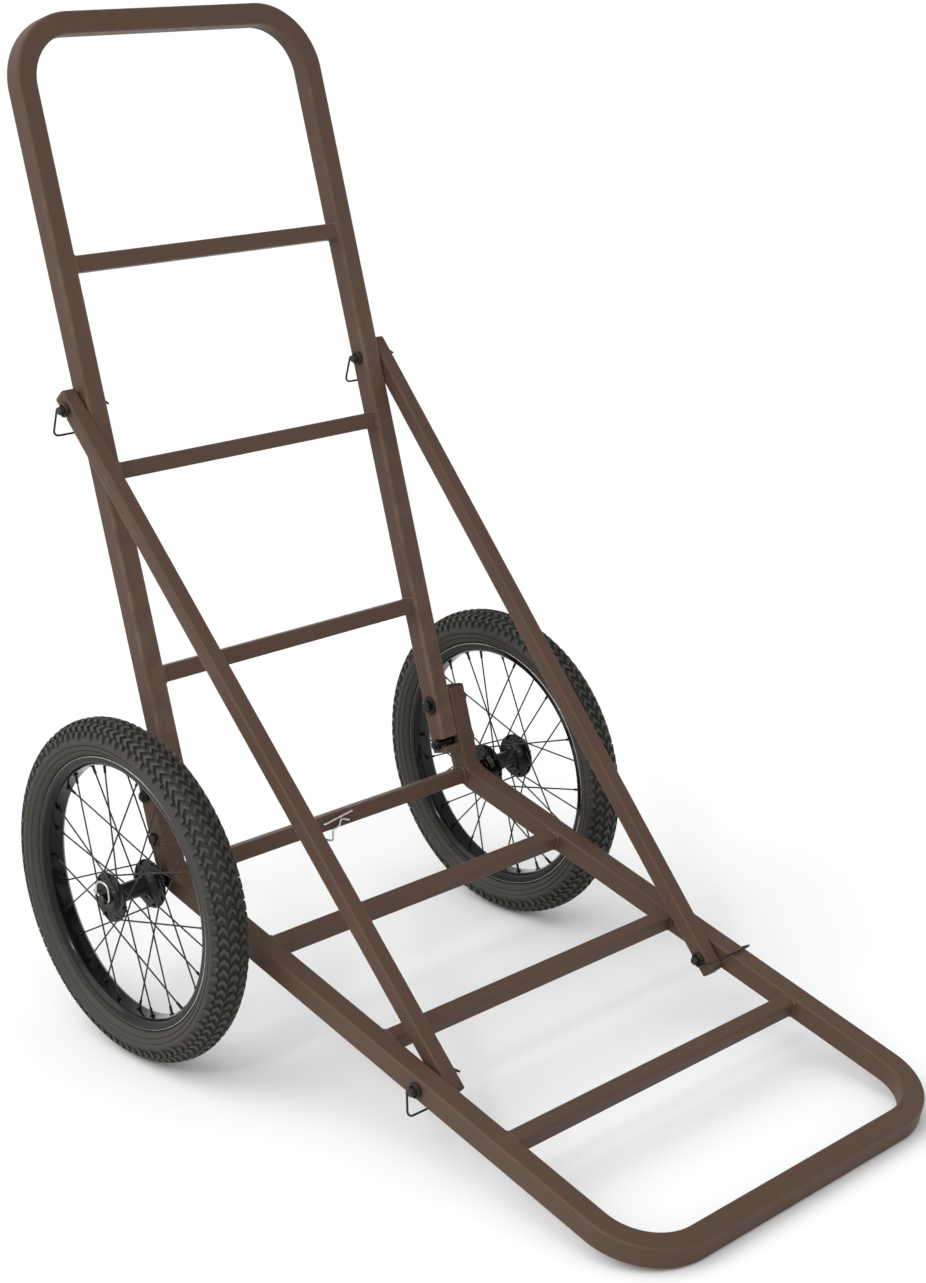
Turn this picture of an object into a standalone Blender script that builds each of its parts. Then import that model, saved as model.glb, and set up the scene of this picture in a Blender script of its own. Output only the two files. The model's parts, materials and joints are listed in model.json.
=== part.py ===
"""Two-wheeled folding game cart.

A deck of bent square tube has its front on the ground and rises to an axle with two spoked wheels. A tall
handle frame stands bolted between the deck's upright ends. Two braces run from the handle's legs down to the
deck's rails, and wire-lock pins hold them. The cart stands as it does in use. Its front is at -Y and its
handle at +Y; left and right are -X and +X, as seen from the front.
"""

import math

import bmesh
import bpy
from mathutils import Matrix, Vector

MM = 0.001

# Tube stock
TUBE = 25.4 * MM
TUBE_WALL = 1.6 * MM
TUBE_EDGE = 2.2 * MM
SLIM = 19.05 * MM
SLIM_WALL = 1.3 * MM
SLIM_EDGE = 1.8 * MM
GAP = 0.3 * MM
CORNER_RADIUS = 70 * MM
REAR_BEND_RADIUS = 30 * MM
BEND_STEP = math.radians(15)
WIRE_BEND_STEP = math.radians(30)

# The deck, which meets the uprights at the axle
AXLE_Y = 236.77 * MM
WHEEL_RADIUS = 199 * MM
DECK_TILT = math.radians(14.2)
DECK_WIDTH = 457 * MM
FRONT_Z = 14.9 * MM
CROSSBARS = {"crossbar_front": 204 * MM, "crossbar_middle": 394 * MM, "crossbar_rear": 586 * MM}
UPRIGHT_START = 36 * MM

# The handle, along its legs from the pivot bolts
LEAN = math.radians(15.5)
PIVOT_RISE = 95 * MM
HANDLE_WIDTH = 405 * MM
RUNGS = {"rung_low": 128 * MM, "rung_middle": 363 * MM, "rung_high": 598 * MM}
HANDLE_TOP = 866 * MM
LEG_END = -61 * MM
LOCK_BOLT = -50 * MM
UPRIGHT_TOP = 15 * MM
BRACE_TOP = 441 * MM

# The braces, which slant from inside the rails to outside the legs
BRACE_FOOT = 318 * MM
BRACE_FOOT_X = 202 * MM
BRACE_TOP_X = 226.6 * MM
BRACE_END = 18 * MM
BRACE_FOLD_RATIO = 1.152

# Bolts and pins
BOLT_RADIUS = 4 * MM
BOLT_HEAD_RADIUS = 7.5 * MM
BOLT_HEAD_HEIGHT = 5.3 * MM
NUT_HEIGHT = 6.5 * MM
WASHER_RADIUS = 12 * MM
WASHER_HEIGHT = 2 * MM
HOLE_SLACK = 0.35 * MM
PIN_RADIUS = 3.2 * MM
PIN_TIP = 5 * MM
PIN_COLLAR_RADIUS = 9 * MM
PIN_COLLAR_HEIGHT = 3 * MM
PIN_BOSS_RADIUS = 4.6 * MM
PIN_BOSS_HEIGHT = 7 * MM
WIRE_RADIUS = 1.25 * MM
WIRE_BEND = 5 * MM
BAIL_SIDE = 7.5 * MM

# The axle and the wheels
AXLE_RADIUS = 6 * MM
AXLE_HALF = 327 * MM
HUB_CLIP_X = 322.5 * MM
AXLE_CLIP_X = -16 * MM
SPACER_RADIUS = 10 * MM
CLIP_RADIUS = 1.25 * MM
CLIP_HOLE_RADIUS = 1.7 * MM
WHEEL_X = 287 * MM
TYRE_HALF = 24 * MM
TYRE_WALL = 4 * MM
BEAD_RADIUS = 152.5 * MM
RIM_RADIUS = 158 * MM
RIM_BED_RADIUS = 146 * MM
RIM_HALF = 15 * MM
RIM_WALL = 1.6 * MM
HUB_HALF = 32.5 * MM
HUB_FLANGE_X = 26.5 * MM
HUB_FLANGE_RADIUS = 28.5 * MM
HUB_FLANGE_HALF = 1.4 * MM
HUB_BARREL_RADIUS = 12.5 * MM
HUB_END_RADIUS = 15 * MM
BEARING_RADIUS = 12 * MM
BEARING_WIDTH = 8 * MM
SPOKE_COUNT = 28
SPOKE_RADIUS = 1.2 * MM
SPOKE_CIRCLE = 25 * MM
SPOKE_CROSS = math.radians(64)
SPOKE_OUTSIDE = 4.5 * MM
SPOKE_INSIDE = 3 * MM
WHEEL_STEPS = 28
HUB_STEPS = 16

BROWN = (0.145, 0.085, 0.062)
BLACK = (0.018, 0.017, 0.016)
RUBBER_GREY = (0.045, 0.044, 0.038)
STEEL_GREY = (0.62, 0.62, 0.63)

SIDES = {"left": -1, "right": 1}
X_AXIS = Vector((1, 0, 0))
DECK_BACK = Vector((0, math.cos(DECK_TILT), math.sin(DECK_TILT)))
DECK_UP = Vector((0, -math.sin(DECK_TILT), math.cos(DECK_TILT)))
LEG_UP = Vector((0, math.sin(LEAN), math.cos(LEAN)))
LEG_BACK = Vector((0, math.cos(LEAN), -math.sin(LEAN)))
AXLE = Vector((0, AXLE_Y, WHEEL_RADIUS))
REAR_CORNER = AXLE + Vector((0, 0.5, 1)) * MM
DECK_LENGTH = (REAR_CORNER.z - FRONT_Z) / math.sin(DECK_TILT)
FRONT = REAR_CORNER - DECK_BACK * DECK_LENGTH
PIVOT = REAR_CORNER + LEG_UP * PIVOT_RISE
BRACE_PIVOT = FRONT + DECK_BACK * BRACE_FOOT
BRACE_PIN = PIVOT + LEG_UP * BRACE_TOP
BRACE_DIRECTION = (BRACE_PIN - BRACE_PIVOT).normalized()
BRACE_LENGTH = (BRACE_PIN - BRACE_PIVOT).length
HUB_CLIP_WAY = Vector((0, math.cos(math.radians(8)), math.sin(math.radians(8))))


def at_x(point, x):
    return Vector((x, point.y, point.z))


def new_collection(name, hidden=False):
    collection = bpy.data.collections.new(name)
    bpy.context.scene.collection.children.link(collection)
    collection.hide_render = hidden
    return collection


def make_material(name, colour, roughness, metallic=0.0):
    material = bpy.data.materials.new(name)
    material.use_nodes = True
    shader = material.node_tree.nodes["Principled BSDF"]
    shader.inputs["Base Color"].default_value = (*colour, 1)
    shader.inputs["Roughness"].default_value = roughness
    shader.inputs["Metallic"].default_value = metallic
    return material


for old in list(bpy.data.objects):
    bpy.data.objects.remove(old)

PARTS = new_collection("game_cart")
CUTTERS = new_collection("cutters", hidden=True)
PAINT = make_material("brown_powder_coat", BROWN, 0.5)
DARK_STEEL = make_material("black_steel", BLACK, 0.4, 0.6)
PLASTIC = make_material("black_plastic", BLACK, 0.55)
TYRE_RUBBER = make_material("tyre_rubber", RUBBER_GREY, 0.8)
BRIGHT_STEEL = make_material("bright_steel", STEEL_GREY, 0.3, 1.0)


# ---- Shapes ----


def add_part(name, mesh, material):
    mesh.materials.append(material)
    obj = bpy.data.objects.new(name, mesh)
    PARTS.objects.link(obj)
    return obj


def add_helper(name, data):
    obj = bpy.data.objects.new(name, data)
    CUTTERS.objects.link(obj)
    obj.hide_render = True
    if obj.type == "MESH":
        obj.display_type = "WIRE"
    return obj


def mesh_from(name, build):
    """A mesh of what build(bm) puts into an empty bmesh."""
    mesh = bpy.data.meshes.new(name)
    bm = bmesh.new()
    build(bm)
    bmesh.ops.recalc_face_normals(bm, faces=bm.faces)
    bm.to_mesh(mesh)
    bm.free()
    return mesh


def box_mesh(name, size, middle=(0, 0, 0)):
    def build(bm):
        bmesh.ops.create_cube(bm, size=1)
        bmesh.ops.scale(bm, vec=size, verts=bm.verts)
        bmesh.ops.translate(bm, vec=middle, verts=bm.verts)

    return mesh_from(name, build)


def rod_mesh(name, radius, low, high, sides):
    """A cylinder along Z from low to high."""

    def build(bm):
        middle = Matrix.Translation((0, 0, (low + high) / 2))
        bmesh.ops.create_cone(
            bm,
            cap_ends=True,
            segments=sides,
            radius1=radius,
            radius2=radius,
            depth=high - low,
            matrix=middle,
        )

    return mesh_from(name, build)


def facing(direction):
    """The turn that takes +Z to direction, and +X as near to the cart's X axis as it can, or to the deck's up."""
    z = direction.normalized()
    side = DECK_UP if abs(z.x) > 0.9 else X_AXIS
    x = (side - z * side.dot(z)).normalized()
    return Matrix((x, z.cross(x), z)).transposed().to_4x4()


def placed(obj, point, direction):
    obj.matrix_world = Matrix.Translation(point) @ facing(direction)
    return obj


def combine(obj, other, operation):
    modifier = obj.modifiers.new(operation.lower(), "BOOLEAN")
    modifier.operation = operation
    modifier.solver = "EXACT"
    modifier.object = other


def drill(obj, start, end, radius, sides=16):
    """Cuts a round hole from start to end."""
    name = obj.name + "_hole"
    cutter = add_helper(name, rod_mesh(name, radius, 0, (end - start).length, sides))
    placed(cutter, start, end - start)
    combine(obj, cutter, "DIFFERENCE")


def drill_x(obj, point, x_middle, radius, half=20 * MM):
    drill(obj, at_x(point, x_middle - half), at_x(point, x_middle + half), radius)


def notch(obj, start, direction, width, length, depth=60 * MM):
    """Cuts an open-ended slot of the given width that runs from start in direction, across X."""
    name = obj.name + "_notch"
    cutter = add_helper(name, box_mesh(name, (depth, width, length), (0, 0, length / 2)))
    placed(cutter, start, direction)
    combine(obj, cutter, "DIFFERENCE")


def rounded_route(corners, radii, bend_step=BEND_STEP):
    """The points of a path through the corners, with an arc of the given radius at each turn."""
    points = [corners[0]]
    for before, corner, after, radius in zip(corners, corners[1:], corners[2:], radii):
        way_in = (corner - before).normalized()
        way_out = (after - corner).normalized()
        turn = way_in.angle(way_out)
        start = corner - way_in * radius * math.tan(turn / 2)
        centre = corner + (way_out - way_in).normalized() * radius / math.cos(turn / 2)
        spin_axis = way_in.cross(way_out)
        steps = max(2, round(turn / bend_step))
        for step in range(steps + 1):
            points.append(centre + Matrix.Rotation(turn * step / steps, 3, spin_axis) @ (start - centre))
    points.append(corners[-1])
    return points


def path_curve(name, points, cyclic=False):
    curve = bpy.data.curves.new(name, "CURVE")
    curve.dimensions = "3D"
    spline = curve.splines.new("POLY")
    spline.points.add(len(points) - 1)
    for target, point in zip(spline.points, points):
        target.co = (*point, 1)
    spline.use_cyclic_u = cyclic
    return add_helper(name, curve)


def mesh_of_curve(obj, name):
    """The mesh that a curve object makes, with its caps welded. The curve goes."""
    bpy.context.view_layer.update()
    graph = bpy.context.evaluated_depsgraph_get()
    mesh = bpy.data.meshes.new_from_object(obj.evaluated_get(graph))
    mesh.name = name
    bm = bmesh.new()
    bm.from_mesh(mesh)
    bmesh.ops.remove_doubles(bm, verts=bm.verts, dist=0.01 * MM)
    bmesh.ops.recalc_face_normals(bm, faces=bm.faces)
    bm.to_mesh(mesh)
    bm.free()
    mesh.materials.clear()
    bpy.data.objects.remove(obj)
    return mesh


def square_outline(size, edge):
    """The corners of a square whose corners are cut off."""
    half = size / 2
    flat = half - edge
    points = []
    for quarter in range(4):
        turn = Matrix.Rotation(math.radians(90 * quarter), 3, "Z")
        points += [turn @ Vector((half, -flat, 0)), turn @ Vector((half, flat, 0))]
    return points


def square_tube(name, route, size, edge, wall, material=PAINT):
    """A hollow square tube with open ends that follows the route."""
    outline = path_curve(name + "_outline", square_outline(size, edge), cyclic=True)
    path = path_curve(name + "_path", route)
    path.data.bevel_mode = "OBJECT"
    path.data.bevel_object = outline
    obj = add_part(name, mesh_of_curve(path, name), material)
    bpy.data.objects.remove(outline)
    shell = obj.modifiers.new("wall", "SOLIDIFY")
    shell.thickness = wall
    shell.offset = -1
    shell.use_even_offset = True
    return obj


def bar_across(name, point, half, turn):
    """A slim tube along X, centred on point and turned about X."""
    ends = [Vector((-half, 0, 0)), Vector((half, 0, 0))]
    obj = square_tube(name, ends, SLIM, SLIM_EDGE, SLIM_WALL)
    obj.location = point
    obj.rotation_euler = (turn, 0, 0)
    return obj


def wire(name, points, radius, material):
    """A round wire with closed ends."""
    path = path_curve(name, points)
    path.data.bevel_depth = radius
    path.data.bevel_resolution = 1
    path.data.use_fill_caps = True
    return smooth(add_part(name, mesh_of_curve(path, name), material))


def smooth(obj):
    obj.data.shade_smooth()
    obj.data.set_sharp_from_angle(angle=math.radians(40))
    return obj


def turned(name, outline, centre, material, steps=WHEEL_STEPS):
    """A ring turned about an X axis through centre; outline holds (x, radius) pairs."""
    mesh = bpy.data.meshes.new(name)
    bm = bmesh.new()
    points = [bm.verts.new((radius, 0, x)) for x, radius in reversed(outline)]
    for first, second in zip(points, points[1:] + points[:1]):
        bm.edges.new((first, second))
    bm.to_mesh(mesh)
    bm.free()
    obj = add_part(name, mesh, material)
    screw = obj.modifiers.new("turn", "SCREW")
    screw.steps = steps
    screw.render_steps = steps
    screw.use_merge_vertices = True
    screw.merge_threshold = 0.01 * MM
    screw.use_smooth_shade = True
    # Local +Z lies along +X and local +X points down, so that each ring has a corner at its lowest point.
    obj.rotation_euler = (0, math.radians(90), 0)
    obj.location = centre
    return obj


def rod_x(name, point, x_low, x_high, radius, material, sides=16):
    """A cylinder along X."""
    obj = add_part(name, rod_mesh(name, radius, x_low, x_high, sides), material)
    placed(obj, at_x(point, 0), X_AXIS)
    return smooth(obj)


def join_rod(obj, point, x_low, x_high, radius, sides=16):
    """Joins a cylinder along X to obj."""
    name = obj.name + "_step"
    other = add_helper(name, rod_mesh(name, radius, x_low, x_high, sides))
    placed(other, at_x(point, 0), X_AXIS)
    combine(obj, other, "UNION")


def joint_empty(name, point):
    """An empty on a joint's axis, which carries the pieces that turn about it."""
    empty = bpy.data.objects.new(name, None)
    empty.location = point
    empty.empty_display_size = 30 * MM
    PARTS.objects.link(empty)
    return empty


def carry(empty, pieces):
    bpy.context.view_layer.update()
    for piece in pieces:
        place = piece.matrix_world.copy()
        piece.parent = empty
        piece.matrix_world = place


# ---- Load frame ----


def deck_rail():
    """One tube: left seam, down, forward, across the front, and back the same way on the right."""
    half = DECK_WIDTH / 2
    seam = REAR_CORNER + LEG_UP * (UPRIGHT_START - GAP)
    corners = [
        at_x(seam, -half),
        at_x(REAR_CORNER, -half),
        at_x(FRONT, -half),
        at_x(FRONT, half),
        at_x(REAR_CORNER, half),
        at_x(seam, half),
    ]
    radii = [REAR_BEND_RADIUS, CORNER_RADIUS, CORNER_RADIUS, REAR_BEND_RADIUS]
    rail = square_tube("deck_rail", rounded_route(corners, radii), TUBE, TUBE_EDGE, TUBE_WALL)
    for side in SIDES.values():
        drill_x(rail, AXLE, side * half, AXLE_RADIUS + HOLE_SLACK)
        drill_x(rail, BRACE_PIVOT, side * half, PIN_RADIUS + HOLE_SLACK)
    return rail


def crossbars():
    half = DECK_WIDTH / 2 - TUBE / 2 - GAP
    bars = [bar_across(name, FRONT + DECK_BACK * back, half, DECK_TILT) for name, back in CROSSBARS.items()]
    axle_tube = bar_across("axle_tube", AXLE, half, -LEAN)
    middle = at_x(AXLE, AXLE_CLIP_X)
    reach = LEG_BACK * SLIM
    drill(axle_tube, middle - reach, middle + reach, CLIP_HOLE_RADIUS, 12)
    return bars + [axle_tube]


def uprights():
    """The tubes on the rail's ends, with a plug in each top, flush with the handle's legs."""
    pieces = []
    top = PIVOT_RISE + UPRIGHT_TOP
    for side_name, side in SIDES.items():
        x = side * DECK_WIDTH / 2
        route = [at_x(REAR_CORNER + LEG_UP * along, x) for along in (UPRIGHT_START, top)]
        upright = square_tube("upright_" + side_name, route, TUBE, TUBE_EDGE, TUBE_WALL)
        for bolt in (0, LOCK_BOLT):
            drill_x(upright, PIVOT + LEG_UP * bolt, x, BOLT_RADIUS + HOLE_SLACK)
        plug = tube_plug("upright_plug_" + side_name, route[1], LEG_UP, TUBE, TUBE_WALL)
        pieces += [upright, plug]
    return pieces


def tube_plug(name, end, outward, size, wall):
    """A plastic plug: a thin cap on the tube's end and a block that fits inside it."""
    cap = 1.8 * MM
    inner = size - 2 * wall - 2 * MM
    obj = add_part(name, box_mesh(name, (size, size, cap), (0, 0, GAP + cap / 2)), PLASTIC)
    length = 7 * MM
    block_mesh = box_mesh(name + "_block", (inner, inner, length), (0, 0, GAP + cap / 2 - length / 2))
    block = add_helper(name + "_block", block_mesh)
    for piece in (obj, block):
        placed(piece, end, outward)
    combine(obj, block, "UNION")
    return obj


def bolts():
    """Both bolts of each side: the pivot bolt's head is inside, and the lock bolt's is outside."""
    outer = DECK_WIDTH / 2 + TUBE / 2 + GAP
    inner = HANDLE_WIDTH / 2 - TUBE / 2 - GAP
    lock = PIVOT + LEG_UP * LOCK_BOLT
    pieces = []
    for side_name, side in SIDES.items():
        head_at = inner - WASHER_HEIGHT - GAP
        pieces += [
            bolt("pivot_bolt_" + side_name, PIVOT, side, head_at, -1, outer + NUT_HEIGHT + 2 * MM),
            ring("pivot_washer_" + side_name, PIVOT, side, inner - WASHER_HEIGHT, inner, WASHER_RADIUS, 20),
            ring("pivot_nut_" + side_name, PIVOT, side, outer, outer + NUT_HEIGHT, BOLT_HEAD_RADIUS, 6),
            bolt("lock_bolt_" + side_name, lock, side, outer, 1, inner - NUT_HEIGHT - 2 * MM),
            ring("lock_nut_" + side_name, lock, side, inner - NUT_HEIGHT, inner, BOLT_HEAD_RADIUS, 6),
        ]
    return pieces


def bolt(name, point, side, head_at, head_way, tip):
    """A hexagon bolt along X; head_at, head_way and tip count outward from the cart's middle."""
    head_end = head_at + head_way * BOLT_HEAD_HEIGHT
    low, high = sorted((side * head_at, side * head_end))
    obj = rod_x(name, point, low, high, BOLT_HEAD_RADIUS, DARK_STEEL, 6)
    low, high = sorted((side * (head_at + head_way * BOLT_HEAD_HEIGHT / 2), side * tip))
    join_rod(obj, point, low, high, BOLT_RADIUS, 12)
    return obj


def ring(name, point, side, near, far, radius, sides):
    """A washer or a nut round a bolt, from near to far, counted outward from the cart's middle."""
    low, high = sorted((side * near, side * far))
    obj = rod_x(name, point, low, high, radius, DARK_STEEL, sides)
    drill_x(obj, point, (low + high) / 2, BOLT_RADIUS + HOLE_SLACK)
    return obj


# ---- Handle ----


def handle():
    half = HANDLE_WIDTH / 2
    foot = PIVOT + LEG_UP * LEG_END
    top = PIVOT + LEG_UP * HANDLE_TOP
    corners = [at_x(foot, -half), at_x(top, -half), at_x(top, half), at_x(foot, half)]
    route = rounded_route(corners, [CORNER_RADIUS, CORNER_RADIUS])
    tube = square_tube("handle_tube", route, TUBE, TUBE_EDGE, TUBE_WALL)
    lock = PIVOT + LEG_UP * LOCK_BOLT
    forward = Matrix.Rotation(math.radians(-7), 3, "X") @ -LEG_BACK
    for side in SIDES.values():
        drill_x(tube, PIVOT, side * half, BOLT_RADIUS + HOLE_SLACK)
        drill_x(tube, BRACE_PIN, side * half, PIN_RADIUS + HOLE_SLACK)
        notch(tube, at_x(lock, side * half) - forward * (BOLT_RADIUS + MM), forward, 10.4 * MM, 40 * MM)
    pieces = [tube]
    between = half - TUBE / 2 - GAP
    for name, along in RUNGS.items():
        pieces.append(bar_across(name, PIVOT + LEG_UP * along, between, -LEAN))
    return pieces


# ---- Braces and pins ----


def brace(side_name, side):
    """A slim tube between the pins. Its upper hole is open at the back, where it leaves the pin."""
    foot = at_x(BRACE_PIVOT, side * BRACE_FOOT_X)
    top = at_x(BRACE_PIN, side * BRACE_TOP_X)
    along = (top - foot).normalized()
    ends = [Vector((0, 0, -BRACE_END)), Vector((0, 0, (top - foot).length + BRACE_END))]
    tube = square_tube("brace_" + side_name, ends, SLIM, SLIM_EDGE, SLIM_WALL)
    placed(tube, foot, along)
    drill_x(tube, BRACE_PIVOT, foot.x, PIN_RADIUS + HOLE_SLACK)
    drill_x(tube, BRACE_PIN, top.x, PIN_RADIUS + MM)
    notch(tube, top, exit_direction(), 2 * (PIN_RADIUS + MM), 40 * MM)
    low_plug = tube_plug("brace_foot_plug_" + side_name, foot - along * BRACE_END, -along, SLIM, SLIM_WALL)
    top_plug = tube_plug("brace_top_plug_" + side_name, top + along * BRACE_END, along, SLIM, SLIM_WALL)
    return [tube, low_plug, top_plug]


def exit_direction():
    """The way the handle's pin first moves against the brace, as both fold forward."""
    pin_travel = X_AXIS.cross(LEG_UP) * BRACE_TOP
    brace_travel = X_AXIS.cross(BRACE_DIRECTION) * BRACE_LENGTH * BRACE_FOLD_RATIO
    return (pin_travel - brace_travel).normalized()


def lock_pin(name, point, x_collar, x_tip, hang):
    """A pin along +X from its collar to its tip, with the boss that holds its bail."""
    boss_middle = x_collar - PIN_COLLAR_HEIGHT - PIN_BOSS_HEIGHT / 2
    pin = rod_x(name, point, x_collar - PIN_COLLAR_HEIGHT, x_collar, PIN_COLLAR_RADIUS, DARK_STEEL, 20)
    join_rod(pin, point, x_collar - PIN_COLLAR_HEIGHT / 2, x_tip, PIN_RADIUS, 12)
    join_rod(pin, point, x_collar - PIN_COLLAR_HEIGHT - PIN_BOSS_HEIGHT, x_collar - MM, PIN_BOSS_RADIUS, 12)
    across = X_AXIS.cross(hang)
    middle = at_x(point, boss_middle)
    drill(pin, middle - across * 9 * MM, middle + across * 9 * MM, WIRE_RADIUS + HOLE_SLACK, 12)
    return pin, middle


def bail(name, middle, x_tip, hang, depth, side):
    """The wire that hinges in the pin's boss, runs round the tubes and hooks over the pin's tip."""
    across = X_AXIS.cross(hang) * side
    reach = X_AXIS * (x_tip + 3 * MM - middle.x)
    down = hang * depth
    beside = across * BAIL_SIDE
    corners = [
        middle - across * (PIN_BOSS_RADIUS + 1.5 * MM),
        middle + beside,
        middle + beside + down,
        middle + beside + down + reach,
        middle + beside + reach,
        middle + reach - across * 2.5 * MM,
    ]
    radii = [2.4 * MM, WIRE_BEND, WIRE_BEND, 3 * MM]
    return wire(name, rounded_route(corners, radii, WIRE_BEND_STEP), WIRE_RADIUS, DARK_STEEL)


def in_section(degrees):
    """The direction at an angle from +Y towards +Z."""
    return Vector((0, math.cos(math.radians(degrees)), math.sin(math.radians(degrees))))


def pins():
    """The four pins. All heads face -X, and each bail hangs its own way."""
    brace_top = BRACE_TOP_X + SLIM / 2 + 0.4 * MM
    leg_inner = HANDLE_WIDTH / 2 - TUBE / 2
    rail_outer = DECK_WIDTH / 2 + TUBE / 2
    brace_inner = BRACE_FOOT_X - SLIM / 2 - 0.4 * MM
    layout = {
        "upper_pin_left": (BRACE_PIN, -brace_top, -leg_inner, 288, 36, 1),
        "upper_pin_right": (BRACE_PIN, leg_inner, brace_top, 288, 36, 1),
        "lower_pin_left": (BRACE_PIVOT, -rail_outer, -brace_inner, 270, 32, 1),
        "lower_pin_right": (BRACE_PIVOT, brace_inner, rail_outer, 150, 30, 1),
    }
    made = {}
    for name, (point, x_near, x_far, degrees, depth, side) in layout.items():
        hang = in_section(degrees)
        tip = x_far + PIN_TIP
        pin, middle = lock_pin(name, point, x_near - GAP, tip, hang)
        hook = bail(name.replace("pin", "bail"), middle, tip, hang, depth * MM, side)
        hinge = joint_empty(name.replace("pin", "bail") + "_hinge", middle)
        carry(hinge, [hook])
        made[name] = (pin, hinge)
    return made


# ---- Axle and wheels ----


def axle():
    rod = rod_x("axle", AXLE, -AXLE_HALF, AXLE_HALF, AXLE_RADIUS, BRIGHT_STEEL, 16)
    for x, way in ((AXLE_CLIP_X, LEG_BACK), (-HUB_CLIP_X, HUB_CLIP_WAY), (HUB_CLIP_X, HUB_CLIP_WAY)):
        reach = way * 2 * AXLE_RADIUS
        drill(rod, at_x(AXLE, x) - reach, at_x(AXLE, x) + reach, CLIP_HOLE_RADIUS, 12)
    return rod


def axle_clip():
    """A wire through the tube and the axle, which springs back under the tube and up its front face.

    Its corners are distances from the axle's middle there, along X, forward and up the tube.
    """
    middle = at_x(AXLE, AXLE_CLIP_X)
    places = [(42, 15.5, 6), (0, 12.5, 0), (0, -13, 0), (1, -13, -15), (4, 6, -20)]
    places += [(7, 13, -22), (11, 12.5, -9), (21, 12.5, -7), (26, 12.3, 0.3), (36, 14.5, -3.5)]
    corners = [middle + (X_AXIS * x - LEG_BACK * forward + LEG_UP * up) * MM for x, forward, up in places]
    route = rounded_route(corners, [radius * MM for radius in (3, 4, 4, 5, 2.5, 3, 3, 2.5)], WIRE_BEND_STEP)
    wire("axle_clip", route, CLIP_RADIUS, BRIGHT_STEEL)


def hub_clip(name, side):
    """A wire through the axle's end, with a wavy tail behind and a ring over the end.

    Its corners are distances from the hole along X, Y and Z.
    """
    places = [(0, 20, 6), (0, 16.5, 2.5), (0, 12.5, 5.5), (0, 8, 1.1), (0, -11, -1.5)]
    places += [(side, -11, 21), (side * 2.2, 9.5, 21), (side * 3, 9.5, 5.5)]
    corners = [at_x(AXLE, side * HUB_CLIP_X) + Vector(place) * MM for place in places]
    route = rounded_route(corners, [radius * MM for radius in (2, 2, 2, 5, 8.5, 8.5)], WIRE_BEND_STEP)
    wire(name, route, CLIP_RADIUS, BRIGHT_STEEL)


def clips():
    """The clip that holds the axle in its tube, and the one that holds each wheel on the axle."""
    axle_clip()
    for side_name, side in SIDES.items():
        hub_clip("hub_clip_" + side_name, side)


def band(low, high, inner, outer):
    """The outline of a plain ring."""
    return [(low, outer), (high, outer), (high, inner), (low, inner)]


def spacer(side_name, side):
    near = DECK_WIDTH / 2 + TUBE / 2 + GAP
    far = WHEEL_X - HUB_HALF - GAP
    low, high = sorted((side * near, side * far))
    outline = band(low, high, AXLE_RADIUS + GAP, SPACER_RADIUS)
    return turned("axle_spacer_" + side_name, outline, AXLE, DARK_STEEL, HUB_STEPS)


def mirrored(half_outline):
    """A closed outline from its half at +x, listed from the outside in, and that half's mirror image."""
    return half_outline + [(-x, radius) for x, radius in reversed(half_outline)]


def tyre_outlines():
    """The casing, open towards the rim, and the tube inside it."""
    belly = WHEEL_RADIUS - 22 * MM
    outside = [
        (12 * MM, WHEEL_RADIUS),
        (21 * MM, WHEEL_RADIUS - 7 * MM),
        (TYRE_HALF, belly),
        (12.9 * MM, RIM_RADIUS + 0.8 * MM),
        (12.9 * MM, BEAD_RADIUS),
    ]
    inside = [
        (9 * MM, BEAD_RADIUS),
        (9 * MM, RIM_RADIUS + 2 * MM),
        (TYRE_HALF - TYRE_WALL, belly),
        (10 * MM, WHEEL_RADIUS - 6 * MM),
    ]
    tube = [
        (8 * MM, WHEEL_RADIUS - 8 * MM),
        (TYRE_HALF - TYRE_WALL - 1.5 * MM, belly),
        (8 * MM, RIM_RADIUS + 4 * MM),
        (7.5 * MM, RIM_BED_RADIUS + RIM_WALL + 2 * MM),
    ]
    return mirrored(outside + inside), mirrored(tube)


def rim_outline():
    """A shallow channel whose walls hold the tyre's beads."""
    return mirrored(
        [
            (RIM_HALF - 6.5 * MM, RIM_BED_RADIUS + RIM_WALL),
            (RIM_HALF - RIM_WALL, RIM_BED_RADIUS + 5.8 * MM),
            (RIM_HALF - RIM_WALL, RIM_RADIUS),
            (RIM_HALF, RIM_RADIUS),
            (RIM_HALF, RIM_BED_RADIUS + 5 * MM),
            (RIM_HALF - 6 * MM, RIM_BED_RADIUS),
        ]
    )


def hub_outline():
    """Two flanges on a narrow barrel, with a bore that widens for a bearing at each end."""
    bearing = BEARING_RADIUS + GAP
    shoulder = HUB_HALF - BEARING_WIDTH - MM
    return mirrored(
        [
            (HUB_FLANGE_X - 9 * MM, HUB_BARREL_RADIUS),
            (HUB_FLANGE_X - HUB_FLANGE_HALF, HUB_END_RADIUS + 3 * MM),
            (HUB_FLANGE_X - HUB_FLANGE_HALF, HUB_FLANGE_RADIUS),
            (HUB_FLANGE_X + HUB_FLANGE_HALF, HUB_FLANGE_RADIUS),
            (HUB_FLANGE_X + HUB_FLANGE_HALF, HUB_END_RADIUS + MM),
            (HUB_HALF, HUB_END_RADIUS),
            (HUB_HALF, bearing),
            (shoulder, bearing),
            (shoulder, AXLE_RADIUS + 2 * MM),
        ]
    )


def bearing_outline(outward):
    """A bearing in the hub's outer or inner end, counted from the hub's middle."""
    low, high = sorted((outward * (HUB_HALF - BEARING_WIDTH), outward * (HUB_HALF - GAP)))
    return band(low, high, AXLE_RADIUS + GAP, BEARING_RADIUS)


def wheel_point(x, radius, angle):
    return Vector((x, radius * math.cos(angle), radius * math.sin(angle)))


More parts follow.
